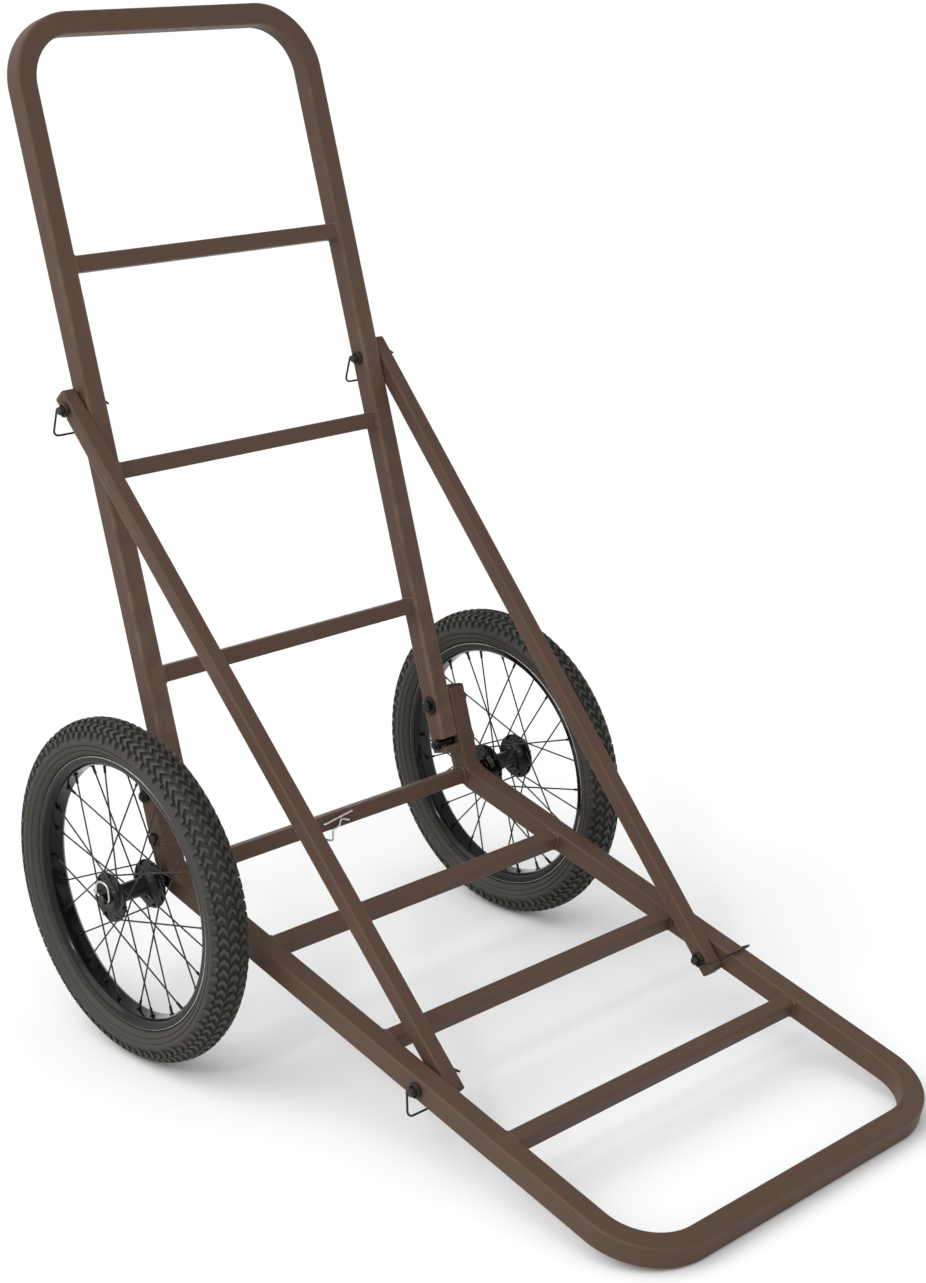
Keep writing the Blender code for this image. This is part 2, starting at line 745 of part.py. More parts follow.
def spoke_rods(name):
    """The spokes round the middle of a wheel. Each flange's spokes lie outside and inside it in turn."""

    def build(bm):
        for number in range(SPOKE_COUNT):
            side = 1 if number % 2 else -1
            lead = 1 if number // 2 % 2 else -1
            beside = SPOKE_OUTSIDE if lead == 1 else -SPOKE_INSIDE
            tip_angle = math.tau * number / SPOKE_COUNT
            root = wheel_point(side * (HUB_FLANGE_X + beside), SPOKE_CIRCLE, tip_angle + lead * SPOKE_CROSS)
            tip = wheel_point(side * 2.5 * MM, RIM_BED_RADIUS - 1.6 * MM, tip_angle)
            bmesh.ops.create_cone(
                bm,
                cap_ends=True,
                segments=4,
                radius1=SPOKE_RADIUS,
                radius2=SPOKE_RADIUS,
                depth=(tip - root).length,
                matrix=Matrix.Translation((root + tip) / 2) @ facing(tip - root),
            )

    return mesh_from(name, build)


def spoke_web(name, centre):
    """All spokes of a wheel, held together by thin bands at the rim and round both flanges."""
    outer = RIM_BED_RADIUS - MM
    web = turned(name, band(-5 * MM, 5 * MM, outer - 1.6 * MM, outer), centre, DARK_STEEL)
    low = HUB_FLANGE_X - SPOKE_INSIDE - 2.5 * MM
    high = HUB_FLANGE_X + SPOKE_OUTSIDE
    for side in SIDES.values():
        ends = sorted((side * low, side * high))
        hoop_outline = band(*ends, HUB_FLANGE_RADIUS + 1.4 * MM, HUB_FLANGE_RADIUS + 2.6 * MM)
        hoop = turned(name + "_hoop", hoop_outline, centre, DARK_STEEL, HUB_STEPS)
        to_helpers(hoop)
        combine(web, hoop, "UNION")
    rods = add_helper(name + "_rods", spoke_rods(name + "_rods"))
    rods.location = centre
    combine(web, rods, "UNION")
    return web


def to_helpers(obj):
    PARTS.objects.unlink(obj)
    CUTTERS.objects.link(obj)
    obj.hide_render = True
    obj.display_type = "WIRE"


def wheel(side_name, side):
    centre = at_x(AXLE, side * WHEEL_X)
    casing, tube = tyre_outlines()
    return [
        turned("tyre_" + side_name, casing, centre, TYRE_RUBBER),
        turned("inner_tube_" + side_name, tube, centre, TYRE_RUBBER),
        turned("rim_" + side_name, rim_outline(), centre, DARK_STEEL),
        spoke_web("spokes_" + side_name, centre),
        turned("hub_" + side_name, hub_outline(), centre, DARK_STEEL, HUB_STEPS),
        turned("bearing_outer_" + side_name, bearing_outline(side), centre, BRIGHT_STEEL, HUB_STEPS),
        turned("bearing_inner_" + side_name, bearing_outline(-side), centre, BRIGHT_STEEL, HUB_STEPS),
    ]


# ---- The whole cart ----


def build_cart():
    deck_rail()
    crossbars()
    uprights()
    bolts()
    axle()
    clips()
    pin_set = pins()
    fold = joint_empty("handle_fold", PIVOT)
    upper = [part for name, pair in pin_set.items() if name.startswith("upper") for part in pair]
    carry(fold, handle() + upper)
    for side_name, side in SIDES.items():
        spacer(side_name, side)
        carry(joint_empty("brace_fold_" + side_name, BRACE_PIVOT), brace(side_name, side))
        carry(joint_empty("wheel_spin_" + side_name, at_x(AXLE, side * WHEEL_X)), wheel(side_name, side))


build_cart()
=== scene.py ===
"""Looks of the folding game cart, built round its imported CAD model.

Every length is in metres, in the CAD model's frame: the deck's front is at -Y, the handle at +Y, and left and
right are -X and +X, as seen from the front.
"""

import json
import math

import bmesh
import bpy
from mathutils import Matrix, Vector, noise


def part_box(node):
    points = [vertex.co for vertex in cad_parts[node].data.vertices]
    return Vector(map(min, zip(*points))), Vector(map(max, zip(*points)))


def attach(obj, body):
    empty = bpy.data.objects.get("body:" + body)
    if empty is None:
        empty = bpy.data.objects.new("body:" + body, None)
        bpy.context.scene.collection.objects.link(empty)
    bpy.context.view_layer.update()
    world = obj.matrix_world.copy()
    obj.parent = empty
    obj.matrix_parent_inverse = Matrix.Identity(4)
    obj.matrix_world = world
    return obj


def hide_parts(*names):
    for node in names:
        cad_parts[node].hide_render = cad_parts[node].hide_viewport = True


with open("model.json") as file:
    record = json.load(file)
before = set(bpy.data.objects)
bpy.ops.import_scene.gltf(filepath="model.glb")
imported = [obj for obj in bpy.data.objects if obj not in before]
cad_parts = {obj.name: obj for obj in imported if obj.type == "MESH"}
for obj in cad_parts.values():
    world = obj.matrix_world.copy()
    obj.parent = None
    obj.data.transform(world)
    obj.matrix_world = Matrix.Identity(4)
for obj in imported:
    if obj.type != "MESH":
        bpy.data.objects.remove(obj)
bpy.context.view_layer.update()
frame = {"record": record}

MM = 0.001

# Stock
TUBE = 25.4 * MM
TUBE_ROUND = 3.2 * MM
TUBE_WALL = 1.6 * MM
SLIM = 19.05 * MM
SLIM_ROUND = 2.6 * MM
SLIM_WALL = 1.3 * MM
GAP = 0.3 * MM
CORNER_RADIUS = 70 * MM
REAR_BEND_RADIUS = 30 * MM
BEND_STEP = math.radians(4)
WIRE_RADIUS = 1.25 * MM
WIRE_STEP = math.radians(10)
WIRE_OUTLINE_SIDES = 12
PIN_RADIUS = 3.2 * MM
LOOSE_FIT = 1 * MM
COIL_WIRE_RADIUS = 1.3 * MM
BAIL_SIDE = 7.5 * MM
BAIL_START = 6.1 * MM
BAIL_END = 2.5 * MM
BAIL_PAST_TIP = 3 * MM
BAIL_BENDS = [2.4 * MM, 8 * MM, 8 * MM, 3 * MM]
BOLT_RADIUS = 4 * MM
BOLT_HEAD = 5.3 * MM
HEX_RADIUS = 7.5 * MM
NUT_HEIGHT = 6.5 * MM
THREAD_LENGTH = 2.2 * MM
THREAD_PITCH = 1.25 * MM
WASHER_RADIUS = 12 * MM
WASHER_HEIGHT = 2 * MM
SPACER_RADIUS = 10 * MM

# Distances along the deck from its front, along the legs from the pivot bolts, and across
PIVOT_RISE = 95 * MM
BRACE_FOOT = 318 * MM
CROSSBARS = {"crossbar_front": 204 * MM, "crossbar_middle": 394 * MM, "crossbar_rear": 586 * MM}
RUNGS = {"rung_low": 128 * MM, "rung_middle": 363 * MM, "rung_high": 598 * MM}
UPRIGHT_START = 36 * MM
UPRIGHT_TOP = 15 * MM
LEG_END = -61 * MM
LOCK_BOLT = -50 * MM
HANDLE_TOP = 866 * MM
BRACE_END = 18 * MM
BRACE_FOOT_X = 202 * MM
BRACE_TOP_X = 226.6 * MM
BRACE_FOLD_RATIO = 1.152
NOTCH_WIDTH = 10.4 * MM
NOTCH_TURN = math.radians(-7)
SLOT_LENGTH = 40 * MM
SLOT_DEPTH = 30 * MM
AXLE_CLIP_X = -16 * MM
HUB_CLIP_X = 322.5 * MM

# The studio
FLOOR_SIZE = 150
FLOOR_DROP = 0.5 * MM
SKY_STRENGTH = 1.0
SKY_SLANT = -1.2
KEY_ENERGY = 0.8
KEY_ANGLE = math.radians(50)
KEY_WAY = (0.7, -0.4, -1.0)
GLINT_PLACE = (-2.3, -1.0, 2.3)
GLINT_TARGET = (0, 0, 0.3)
GLINT_SIZE = 0.32
GLINT_POWER = 11

# The camera, in millimetres from the point on the floor under the axle's middle; it turns by yaw, pitch and
# roll in degrees
CAMERA_FROM_AXLE = (-1663.4, -2043.8, 1248.8)
CAMERA_TURN = (-44.62, -16.208, -0.481)
CAMERA_LENS_MM = 91.26
CAMERA_SHIFT = (-0.0795, -0.0567)

JOINTS = {joint["name"]: joint for joint in frame["record"]["behaviour"]["joints"]}
SIDES = {"left": -1, "right": 1}
X_AXIS = Vector((1, 0, 0))


def joint_point(name):
    return Vector(JOINTS[name]["pos_m"])


def at_x(point, x):
    return Vector((x, point.y, point.z))


def in_section(degrees):
    """The direction at an angle from +Y towards +Z."""
    return Vector((0, math.cos(math.radians(degrees)), math.sin(math.radians(degrees))))


def middle_of(node):
    low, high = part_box(node)
    return (Vector(low) + Vector(high)) / 2


AXLE = at_x(joint_point("wheel_spin_left"), 0)
PIVOT = at_x(joint_point("handle_fold"), 0)
BRACE_PIVOT = at_x(joint_point("brace_fold_left"), 0)
BRACE_PIN = at_x(joint_point("upper_bail_swing_left"), 0)
LEG_UP = (BRACE_PIN - PIVOT).normalized()
LEG_BACK = LEG_UP.cross(X_AXIS)
REAR_CORNER = PIVOT - LEG_UP * PIVOT_RISE
DECK_BACK = (REAR_CORNER - BRACE_PIVOT).normalized()
DECK_UP = X_AXIS.cross(DECK_BACK)
FRONT = BRACE_PIVOT - DECK_BACK * BRACE_FOOT
RAIL_X = middle_of("upright_right").x
LEG_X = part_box("handle_tube")[1][0] - TUBE / 2
WHEEL_X = abs(joint_point("wheel_spin_left").x)
WHEEL_RADIUS = AXLE.z


# ---- Mesh helpers ----


def rounded_route(corners, radii, bend_step=BEND_STEP):
    """The points of a path through the corners, with an arc of the given radius at each turn."""
    points = [corners[0]]
    for before, corner, after, radius in zip(corners, corners[1:], corners[2:], radii):
        way_in = (corner - before).normalized()
        way_out = (after - corner).normalized()
        turn = way_in.angle(way_out)
        start = corner - way_in * radius * math.tan(turn / 2)
        centre = corner + (way_out - way_in).normalized() * radius / math.cos(turn / 2)
        spin_axis = way_in.cross(way_out)
        steps = max(2, round(turn / bend_step))
        for step in range(steps + 1):
            points.append(centre + Matrix.Rotation(turn * step / steps, 3, spin_axis) @ (start - centre))
    points.append(corners[-1])
    return points


def square_outline(size, rounding, steps=4):
    """A square with rounded corners, as (across, over) pairs. Extra points keep the lighter edges, partly
    wear and partly painted highlight, off the flats.
    """
    reach = size / 2 - rounding
    points = []
    for quarter in range(4):
        turn = Matrix.Rotation(math.radians(90 * quarter), 2)
        points += [turn @ Vector((size / 2, reach - inset * MM)) for inset in (1.8, 0.8)]
        for step in range(steps + 1):
            angle = math.radians(90 * step / steps)
            corner = Vector((math.cos(angle), math.sin(angle))) * rounding
            points.append(turn @ (Vector((reach, reach)) + corner))
        points += [turn @ Vector((reach - inset * MM, size / 2)) for inset in (0.8, 1.8)]
    return points


def round_outline(radius, sides=10):
    return [
        Vector((radius * math.cos(math.tau * side / sides), radius * math.sin(math.tau * side / sides)))
        for side in range(sides)
    ]


def route_frames(route, side, closed):
    """Each point of a route with the two directions across it, carried along with least twist."""
    count = len(route)
    tangents = []
    for number, point in enumerate(route):
        before = route[number - 1] if closed or number else point
        after = route[(number + 1) % count] if closed or number < count - 1 else point
        tangents.append((after - before).normalized())
    across = (side - tangents[0] * side.dot(tangents[0])).normalized()
    frames = []
    previous = tangents[0]
    for point, tangent in zip(route, tangents):
        across = previous.rotation_difference(tangent) @ across
        across = (across - tangent * across.dot(tangent)).normalized()
        frames.append((point, across, tangent.cross(across)))
        previous = tangent
    return frames


def with_end_rings(route):
    """The route with two more points just inside each end, which keep the lighter edges, partly wear and
    partly painted highlight, there.
    """
    first, last = (route[1] - route[0]).normalized(), (route[-2] - route[-1]).normalized()
    start = [route[0] + first * reach * MM for reach in (0, 2, 5)]
    end = [route[-1] + last * reach * MM for reach in (5, 2, 0)]
    return start + route[1:-1] + end


def sweep(bm, route, side, outline, closed=False, caps=True, swell=None):
    """Adds a tube along the route. swell gives each point's scale."""
    rings = []
    for number, (point, across, over) in enumerate(route_frames(route, side, closed)):
        scale = swell(number) if swell else 1
        rings.append([bm.verts.new(point + (across * p.x + over * p.y) * scale) for p in outline])
    pairs = list(zip(rings, rings[1:]))
    if closed:
        pairs.append((rings[-1], rings[0]))
    size = len(outline)
    for ring, following in pairs:
        for corner in range(size):
            after = (corner + 1) % size
            bm.faces.new((ring[corner], ring[after], following[after], following[corner]))
    if caps and not closed:
        bm.faces.new(reversed(rings[0]))
        bm.faces.new(rings[-1])


def lathe(bm, outline, centre, steps=64, start=0.0):
    """Adds a solid turned about an X axis through centre. outline is a closed list of (x, radius) pairs."""
    rings = []
    for step in range(steps):
        angle = start + math.tau * step / steps
        turned = (math.cos(angle), math.sin(angle))
        rings.append([bm.verts.new(centre + Vector((x, r * turned[0], r * turned[1]))) for x, r in outline])
    size = len(outline)
    for ring, following in zip(rings, rings[1:] + rings[:1]):
        for corner in range(size):
            after = (corner + 1) % size
            bm.faces.new((ring[corner], ring[after], following[after], following[corner]))


def arc(centre, radius, start, end, steps):
    """(x, radius) pairs on an arc, with angles in degrees from +x."""
    points = []
    for step in range(steps + 1):
        angle = math.radians(start + (end - start) * step / steps)
        points.append((centre[0] + radius * math.cos(angle), centre[1] + radius * math.sin(angle)))
    return points


def mirrored(half):
    """A closed outline from its half at +x and that half's mirror image."""
    return half + [(-x, radius) for x, radius in reversed(half)]


def new_piece(name, bm, body, material, replaces=(), sharp=35, wall=None):
    """Makes a piece of the bmesh, which rides on the body and stands for the CAD nodes."""
    bmesh.ops.remove_doubles(bm, verts=bm.verts, dist=0.001 * MM)
    bmesh.ops.dissolve_degenerate(bm, edges=bm.edges, dist=0.001 * MM)
    bmesh.ops.recalc_face_normals(bm, faces=bm.faces)
    mesh = bpy.data.meshes.new(name)
    bm.to_mesh(mesh)
    bm.free()
    mesh.shade_smooth()
    mesh.set_sharp_from_angle(angle=math.radians(sharp))
    mesh.materials.append(material)
    obj = bpy.data.objects.new(name, mesh)
    bpy.context.scene.collection.objects.link(obj)
    if wall:
        shell = obj.modifiers.new("wall", "SOLIDIFY")
        shell.thickness = wall
        shell.offset = -1
        shell.use_even_offset = True
    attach(obj, body)
    if replaces:
        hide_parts(*replaces)
    return obj


def flat_shading(obj):
    """Keeps broad flat faces flat beside their rounded edges."""
    modifier = obj.modifiers.new("normals", "WEIGHTED_NORMAL")
    modifier.weight = 90
    modifier.keep_sharp = True
    return obj


def facing(direction, side=X_AXIS):
    """The turn that takes +Z to direction, and +X as near to side as it can."""
    z = direction.normalized()
    x = (side - z * side.dot(z)).normalized()
    return Matrix((x, z.cross(x), z)).transposed().to_4x4()


def cut(obj, cutter_bm):
    """Cuts the solid in cutter_bm out of obj, for good."""
    bmesh.ops.recalc_face_normals(cutter_bm, faces=cutter_bm.faces)
    mesh = bpy.data.meshes.new("cutter")
    cutter_bm.to_mesh(mesh)
    cutter_bm.free()
    cutter = bpy.data.objects.new("cutter", mesh)
    bpy.context.scene.collection.objects.link(cutter)
    modifier = obj.modifiers.new("cut", "BOOLEAN")
    modifier.operation = "DIFFERENCE"
    modifier.solver = "EXACT"
    modifier.object = cutter
    bpy.context.view_layer.update()
    graph = bpy.context.evaluated_depsgraph_get()
    result = bpy.data.meshes.new_from_object(obj.evaluated_get(graph))
    obj.modifiers.clear()
    obj.data = result
    bpy.data.objects.remove(cutter)
    return obj


def box_cutter(start, direction, width):
    """A slot-shaped cutter that runs from start in direction, across X."""
    bm = bmesh.new()
    bmesh.ops.create_cube(bm, size=1)
    bmesh.ops.scale(bm, vec=(SLOT_DEPTH, width, SLOT_LENGTH), verts=bm.verts)
    bmesh.ops.translate(bm, vec=(0, 0, SLOT_LENGTH / 2), verts=bm.verts)
    bmesh.ops.transform(bm, matrix=Matrix.Translation(start) @ facing(direction), verts=bm.verts)
    return bm


def rod_cutter(point, radius, half=25 * MM):
    """A round cutter along X."""
    bm = bmesh.new()
    lathe(bm, [(-half, 0), (half, 0), (half, radius), (-half, radius)], point, 32)
    bmesh.ops.remove_doubles(bm, verts=bm.verts, dist=0.001 * MM)
    bmesh.ops.dissolve_degenerate(bm, edges=bm.edges, dist=0.001 * MM)
    return bm


# ---- Materials ----


class Nodes:
    """A small help for building a material's node tree."""

    def __init__(self, name):
        self.material = bpy.data.materials.new(name)
        self.material.use_nodes = True
        self.tree = self.material.node_tree
        self.shader = self.tree.nodes["Principled BSDF"]
        self.coordinates = self.tree.nodes.new("ShaderNodeTexCoord").outputs["Object"]

    def add(self, kind, inputs=None, **settings):
        node = self.tree.nodes.new(kind)
        for key, value in settings.items():
            setattr(node, key, value)
        for key, value in (inputs or {}).items():
            if isinstance(value, bpy.types.NodeSocket):
                self.tree.links.new(value, node.inputs[key])
            else:
                node.inputs[key].default_value = value
        return node

    def noise(self, scale, detail=3.0, roughness=0.55):
        sizes = {"Vector": self.coordinates, "Scale": scale, "Detail": detail, "Roughness": roughness}
        return self.add("ShaderNodeTexNoise", sizes).outputs["Fac"]

    def ramp(self, factor, low, high, low_value=0.0, high_value=1.0):
        """factor, spread from low..high to low_value..high_value."""
        ranges = {"Value": factor, 1: low, 2: high, 3: low_value, 4: high_value}
        return self.add("ShaderNodeMapRange", ranges).outputs["Result"]

    def mix(self, factor, first, second):
        node = self.add("ShaderNodeMix", data_type="RGBA")
        for index, value in ((0, factor), (6, first), (7, second)):
            if isinstance(value, bpy.types.NodeSocket):
                self.tree.links.new(value, node.inputs[index])
            elif index:
                node.inputs[index].default_value = (*value, 1)
            else:
                node.inputs[index].default_value = value
        return node.outputs[2]

    def bump(self, height, strength, distance):
        sizes = {"Height": height, "Strength": strength, "Distance": distance}
        return self.add("ShaderNodeBump", sizes).outputs["Normal"]

    def connect(self, **sockets):
        for key, value in sockets.items():
            target = self.shader.inputs[key.replace("_", " ")]
            if isinstance(value, bpy.types.NodeSocket):
                self.tree.links.new(value, target)
            else:
                target.default_value = value
        return self.material


def brown_paint():
    """Powder coat: fine orange peel, faint cloudiness, and edges made lighter, partly rubbed wear and partly
    a painted highlight.
    """
    nodes = Nodes("brown_powder_coat")
    clouds = nodes.ramp(nodes.noise(5), 0.3, 0.7)
    specks = nodes.ramp(nodes.noise(900, 2), 0.4, 0.62)
    coat = nodes.mix(clouds, (0.082, 0.049, 0.034), (0.088, 0.053, 0.037))
    coat = nodes.mix(nodes.ramp(specks, 0, 1, 0, 0.3), coat, (0.056, 0.031, 0.020))
    # Edges made lighter from pointiness and broken up by noise patches: partly rubbed wear, partly a painted
    # highlight along the tube edges.
    edge = nodes.add("ShaderNodeNewGeometry").outputs["Pointiness"]
    patches = nodes.ramp(nodes.noise(38), 0.42, 0.60, 0.35, 1)
    edge_wear_and_highlight = nodes.add("ShaderNodeMath", {0: nodes.ramp(edge, 0.52, 0.58), 1: patches}, operation="MULTIPLY")
    coat = nodes.mix(nodes.ramp(edge_wear_and_highlight.outputs[0], 0, 1, 0, 0.45), coat, (0.22, 0.145, 0.105))
    peel = nodes.bump(nodes.noise(620, 2), 0.16, 0.0006)
    rough = nodes.ramp(nodes.noise(55), 0.3, 0.7, 0.40, 0.50)
    return nodes.connect(Base_Color=coat, Roughness=rough, Normal=peel, Specular_IOR_Level=0.15)


def tyre_rubber(name, low, high):
    """Rubber, dusty in places."""
    nodes = Nodes(name)
    dust = nodes.ramp(nodes.noise(22), 0.35, 0.7)
    grain = nodes.ramp(nodes.noise(700, 2), 0.35, 0.65)
    colour = nodes.mix(dust, low, high)
    colour = nodes.mix(nodes.ramp(grain, 0, 1, 0, 0.25), colour, tuple(channel * 0.6 for channel in low))
    rough = nodes.ramp(dust, 0, 1, 0.58, 0.72)
    return nodes.connect(Base_Color=colour, Roughness=rough, Normal=nodes.bump(grain, 0.12, 0.0003))


def dark_metal(name, colour, shine, reflection=0.3):
    """Black-finished steel with a faintly uneven gloss."""
    nodes = Nodes(name)
    uneven = nodes.noise(130)
    tone = nodes.mix(nodes.ramp(uneven, 0.35, 0.65), colour, tuple(channel * 1.9 for channel in colour))
    rough = nodes.ramp(nodes.noise(60), 0.3, 0.7, shine - 0.06, shine + 0.08)
    normal = nodes.bump(nodes.noise(500, 2), 0.05, 0.0003)
    return nodes.connect(Base_Color=tone, Roughness=rough, Normal=normal, Specular_IOR_Level=reflection)


def bright_metal(name, colour, shine):
    """Zinc-plated steel wire and bar."""
    nodes = Nodes(name)
    darker = tuple(channel * 0.72 for channel in colour)
    tone = nodes.mix(nodes.ramp(nodes.noise(160), 0.35, 0.65), colour, darker)
    rough = nodes.ramp(nodes.noise(300, 2), 0.3, 0.7, shine - 0.05, shine + 0.1)
    normal = nodes.bump(nodes.noise(900, 2), 0.06, 0.0002)
    return nodes.connect(Base_Color=tone, Roughness=rough, Normal=normal, Metallic=1.0)


def moulded_plastic():
    """Black plastic with a fine grain."""
    nodes = Nodes("black_plastic")
    tone = nodes.mix(nodes.noise(80), (0.012, 0.011, 0.010), (0.026, 0.024, 0.022))
    normal = nodes.bump(nodes.noise(1400, 2), 0.2, 0.0002)
    rough = nodes.ramp(nodes.noise(90), 0.3, 0.7, 0.42, 0.58)
    return nodes.connect(Base_Color=tone, Roughness=rough, Normal=normal)


PAINT = brown_paint()
SIDEWALL = tyre_rubber("tyre_sidewall", (0.024, 0.021, 0.015), (0.034, 0.030, 0.022))
TREAD = tyre_rubber("tyre_tread", (0.026, 0.023, 0.017), (0.042, 0.038, 0.029))
# Near-black rubber for the crown between the tread blocks: painted shade in the grooves.
PAINTED_GROOVE_SHADE = tyre_rubber("tyre_groove_painted_shade", (0.004, 0.004, 0.003), (0.008, 0.007, 0.006))
RIM_PAINT = dark_metal("rim_black_paint", (0.0030, 0.0028, 0.0024), 0.12, 0.22)
# Bright metal for the rim's lip: a painted highlight standing in for the glint on the black rim's rolled
# edge.
RIM_EDGE_HIGHLIGHT_METAL = bright_metal("rim_edge_painted_highlight", (0.42, 0.40, 0.37), 0.2)
BLACK_STEEL = dark_metal("black_steel", (0.0035, 0.0032, 0.0028), 0.2, 0.22)
SPOKE_STEEL = dark_metal("spoke_steel", (0.012, 0.011, 0.010), 0.28)
PIN_STEEL = dark_metal("pin_steel", (0.008, 0.006, 0.005), 0.3)
ZINC = bright_metal("bright_zinc", (0.64, 0.61, 0.57), 0.2)
AXLE_STEEL = bright_metal("axle_steel", (0.060, 0.057, 0.053), 0.32)
PLASTIC = moulded_plastic()
BUTYL = tyre_rubber("butyl_rubber", (0.014, 0.014, 0.014), (0.022, 0.022, 0.022))


# ---- Tubes ----

TUBE_OUTLINE = square_outline(TUBE, TUBE_ROUND)
SLIM_OUTLINE = square_outline(SLIM, SLIM_ROUND)


def deck_rail():
    """One bent tube: down from the left upright, forward, across the front, and back up on the right."""
    seam = REAR_CORNER + LEG_UP * (UPRIGHT_START - GAP)
    corners = [
        at_x(seam, -RAIL_X),
        at_x(REAR_CORNER, -RAIL_X),
        at_x(FRONT, -RAIL_X),
        at_x(FRONT, RAIL_X),
        at_x(REAR_CORNER, RAIL_X),
        at_x(seam, RAIL_X),
    ]
    radii = [REAR_BEND_RADIUS, CORNER_RADIUS, CORNER_RADIUS, REAR_BEND_RADIUS]
    bm = bmesh.new()
    sweep(bm, with_end_rings(rounded_route(corners, radii)), X_AXIS, TUBE_OUTLINE)
    flat_shading(new_piece("deck_tube", bm, "load_frame", PAINT, ["deck_rail"]))


def uprights():
    """The tubes on the rail's rear ends, with a plug in each top."""
    for side_name, side in SIDES.items():
        x = side * RAIL_X
        ends = [at_x(REAR_CORNER + LEG_UP * along, x) for along in (UPRIGHT_START, PIVOT_RISE + UPRIGHT_TOP)]
        bm = bmesh.new()
        sweep(bm, with_end_rings(ends), X_AXIS, TUBE_OUTLINE, caps=False)
        name = "upright_tube_" + side_name
        nodes = ["upright_" + side_name]
        flat_shading(new_piece(name, bm, "load_frame", PAINT, nodes, wall=TUBE_WALL))
        plug("upright_plug_" + side_name, ends[1], LEG_UP, TUBE, TUBE_WALL, "load_frame")


def plug(node, end, outward, size, wall, body):
    """A moulded plug: a stem that narrows inside the tube, and a softly domed cap with rounded sides."""
    stem = size - 2 * wall - 2 * MM
    stem_round = 1.6 * MM
    cap_round = TUBE_ROUND * size / TUBE
    sections = [
        (-6.5 * MM, stem - 1.8 * MM, stem_round),
        (-4 * MM, stem - 0.6 * MM, stem_round),
        (GAP, stem, stem_round),
        (GAP, size - 0.4 * MM, cap_round),
        (GAP + 0.9 * MM, size, cap_round),
        (GAP + 1.8 * MM, size - 2 * MM, cap_round),
        (GAP + 2.3 * MM, size - 5.6 * MM, cap_round),
    ]
    bm = bmesh.new()
    loops = [
        [bm.verts.new((p.x, p.y, height)) for p in square_outline(width, rounding)]
        for height, width, rounding in sections
    ]
    count = len(loops[0])
    for loop, following in zip(loops, loops[1:]):
        for corner in range(count):
            after = (corner + 1) % count
            bm.faces.new((loop[corner], loop[after], following[after], following[corner]))
    bm.faces.new(reversed(loops[0]))
    bm.faces.new(loops[-1])
    bmesh.ops.transform(bm, matrix=Matrix.Translation(end) @ facing(outward), verts=bm.verts)
    new_piece(node + "_cap", bm, body, PLASTIC, [node], sharp=60)


def bar_across(node, point, half, up, body):
    """A slim tube along X from -half to half."""
    bm = bmesh.new()
    sweep(bm, with_end_rings([at_x(point, -half), at_x(point, half)]), up, SLIM_OUTLINE)
    flat_shading(new_piece(node + "_bar", bm, body, PAINT, [node]))


def weld_bead(bm, point, side, reach, up):
    """A rippled bead round a slim bar's end, where it meets the tube at x = side * reach."""
    over = X_AXIS.cross(up)
    loop = []
    outline = square_outline(SLIM + 0.6 * MM, SLIM_ROUND, 3)
    for start, end in zip(outline, outline[1:] + outline[:1]):
        pieces = max(1, round((end - start).length / (1.3 * MM)))
        for piece in range(pieces):
            p = start.lerp(end, piece / pieces)
            loop.append(at_x(point, side * (reach - 0.5 * MM)) + up * p.x + over * p.y)

    def ripple(number):
        return 1 + 0.14 * math.sin(number * 1.9) + 0.12 * noise.noise(loop[number] * 240)

    sweep(bm, loop, X_AXIS, round_outline(1.5 * MM, 8), closed=True, swell=ripple)


def crossbars_and_rungs():
    """The slim tubes across the deck and the handle, with their welds."""
    bars = {name: (FRONT + DECK_BACK * back, DECK_UP) for name, back in CROSSBARS.items()}
    bars["axle_tube"] = (AXLE, LEG_UP)
    half = RAIL_X - TUBE / 2 - GAP
    welds = bmesh.new()
    for node, (point, up) in bars.items():
        bar_across(node, point, half, up, "load_frame")
        for side in SIDES.values():
            weld_bead(welds, point, side, half, up)
    new_piece("deck_welds", welds, "load_frame", PAINT, sharp=180)
    half = LEG_X - TUBE / 2 - GAP
    welds = bmesh.new()
    for node, along in RUNGS.items():
        point = PIVOT + LEG_UP * along
        bar_across(node, point, half, LEG_UP, "handle")
        for side in SIDES.values():
            weld_bead(welds, point, side, half, LEG_UP)
    new_piece("handle_welds", welds, "handle", PAINT, sharp=180)


def handle_tube():
    """The handle's legs and top, with a notch for the lock bolt in each lower end."""
    foot = PIVOT + LEG_UP * LEG_END
    top = PIVOT + LEG_UP * HANDLE_TOP
    corners = [at_x(foot, -LEG_X), at_x(top, -LEG_X), at_x(top, LEG_X), at_x(foot, LEG_X)]
    bm = bmesh.new()
    route = rounded_route(corners, [CORNER_RADIUS, CORNER_RADIUS])
    sweep(bm, with_end_rings(route), X_AXIS, TUBE_OUTLINE, caps=False)
    tube = new_piece("handle_frame", bm, "handle", PAINT, ["handle_tube"], wall=TUBE_WALL)
    lock = PIVOT + LEG_UP * LOCK_BOLT
    forward = Matrix.Rotation(NOTCH_TURN, 3, "X") @ -LEG_BACK
    for side in SIDES.values():
        start = at_x(lock, side * LEG_X) - forward * (BOLT_RADIUS + LOOSE_FIT)
        cut(tube, box_cutter(start, forward, NOTCH_WIDTH))
    flat_shading(tube)


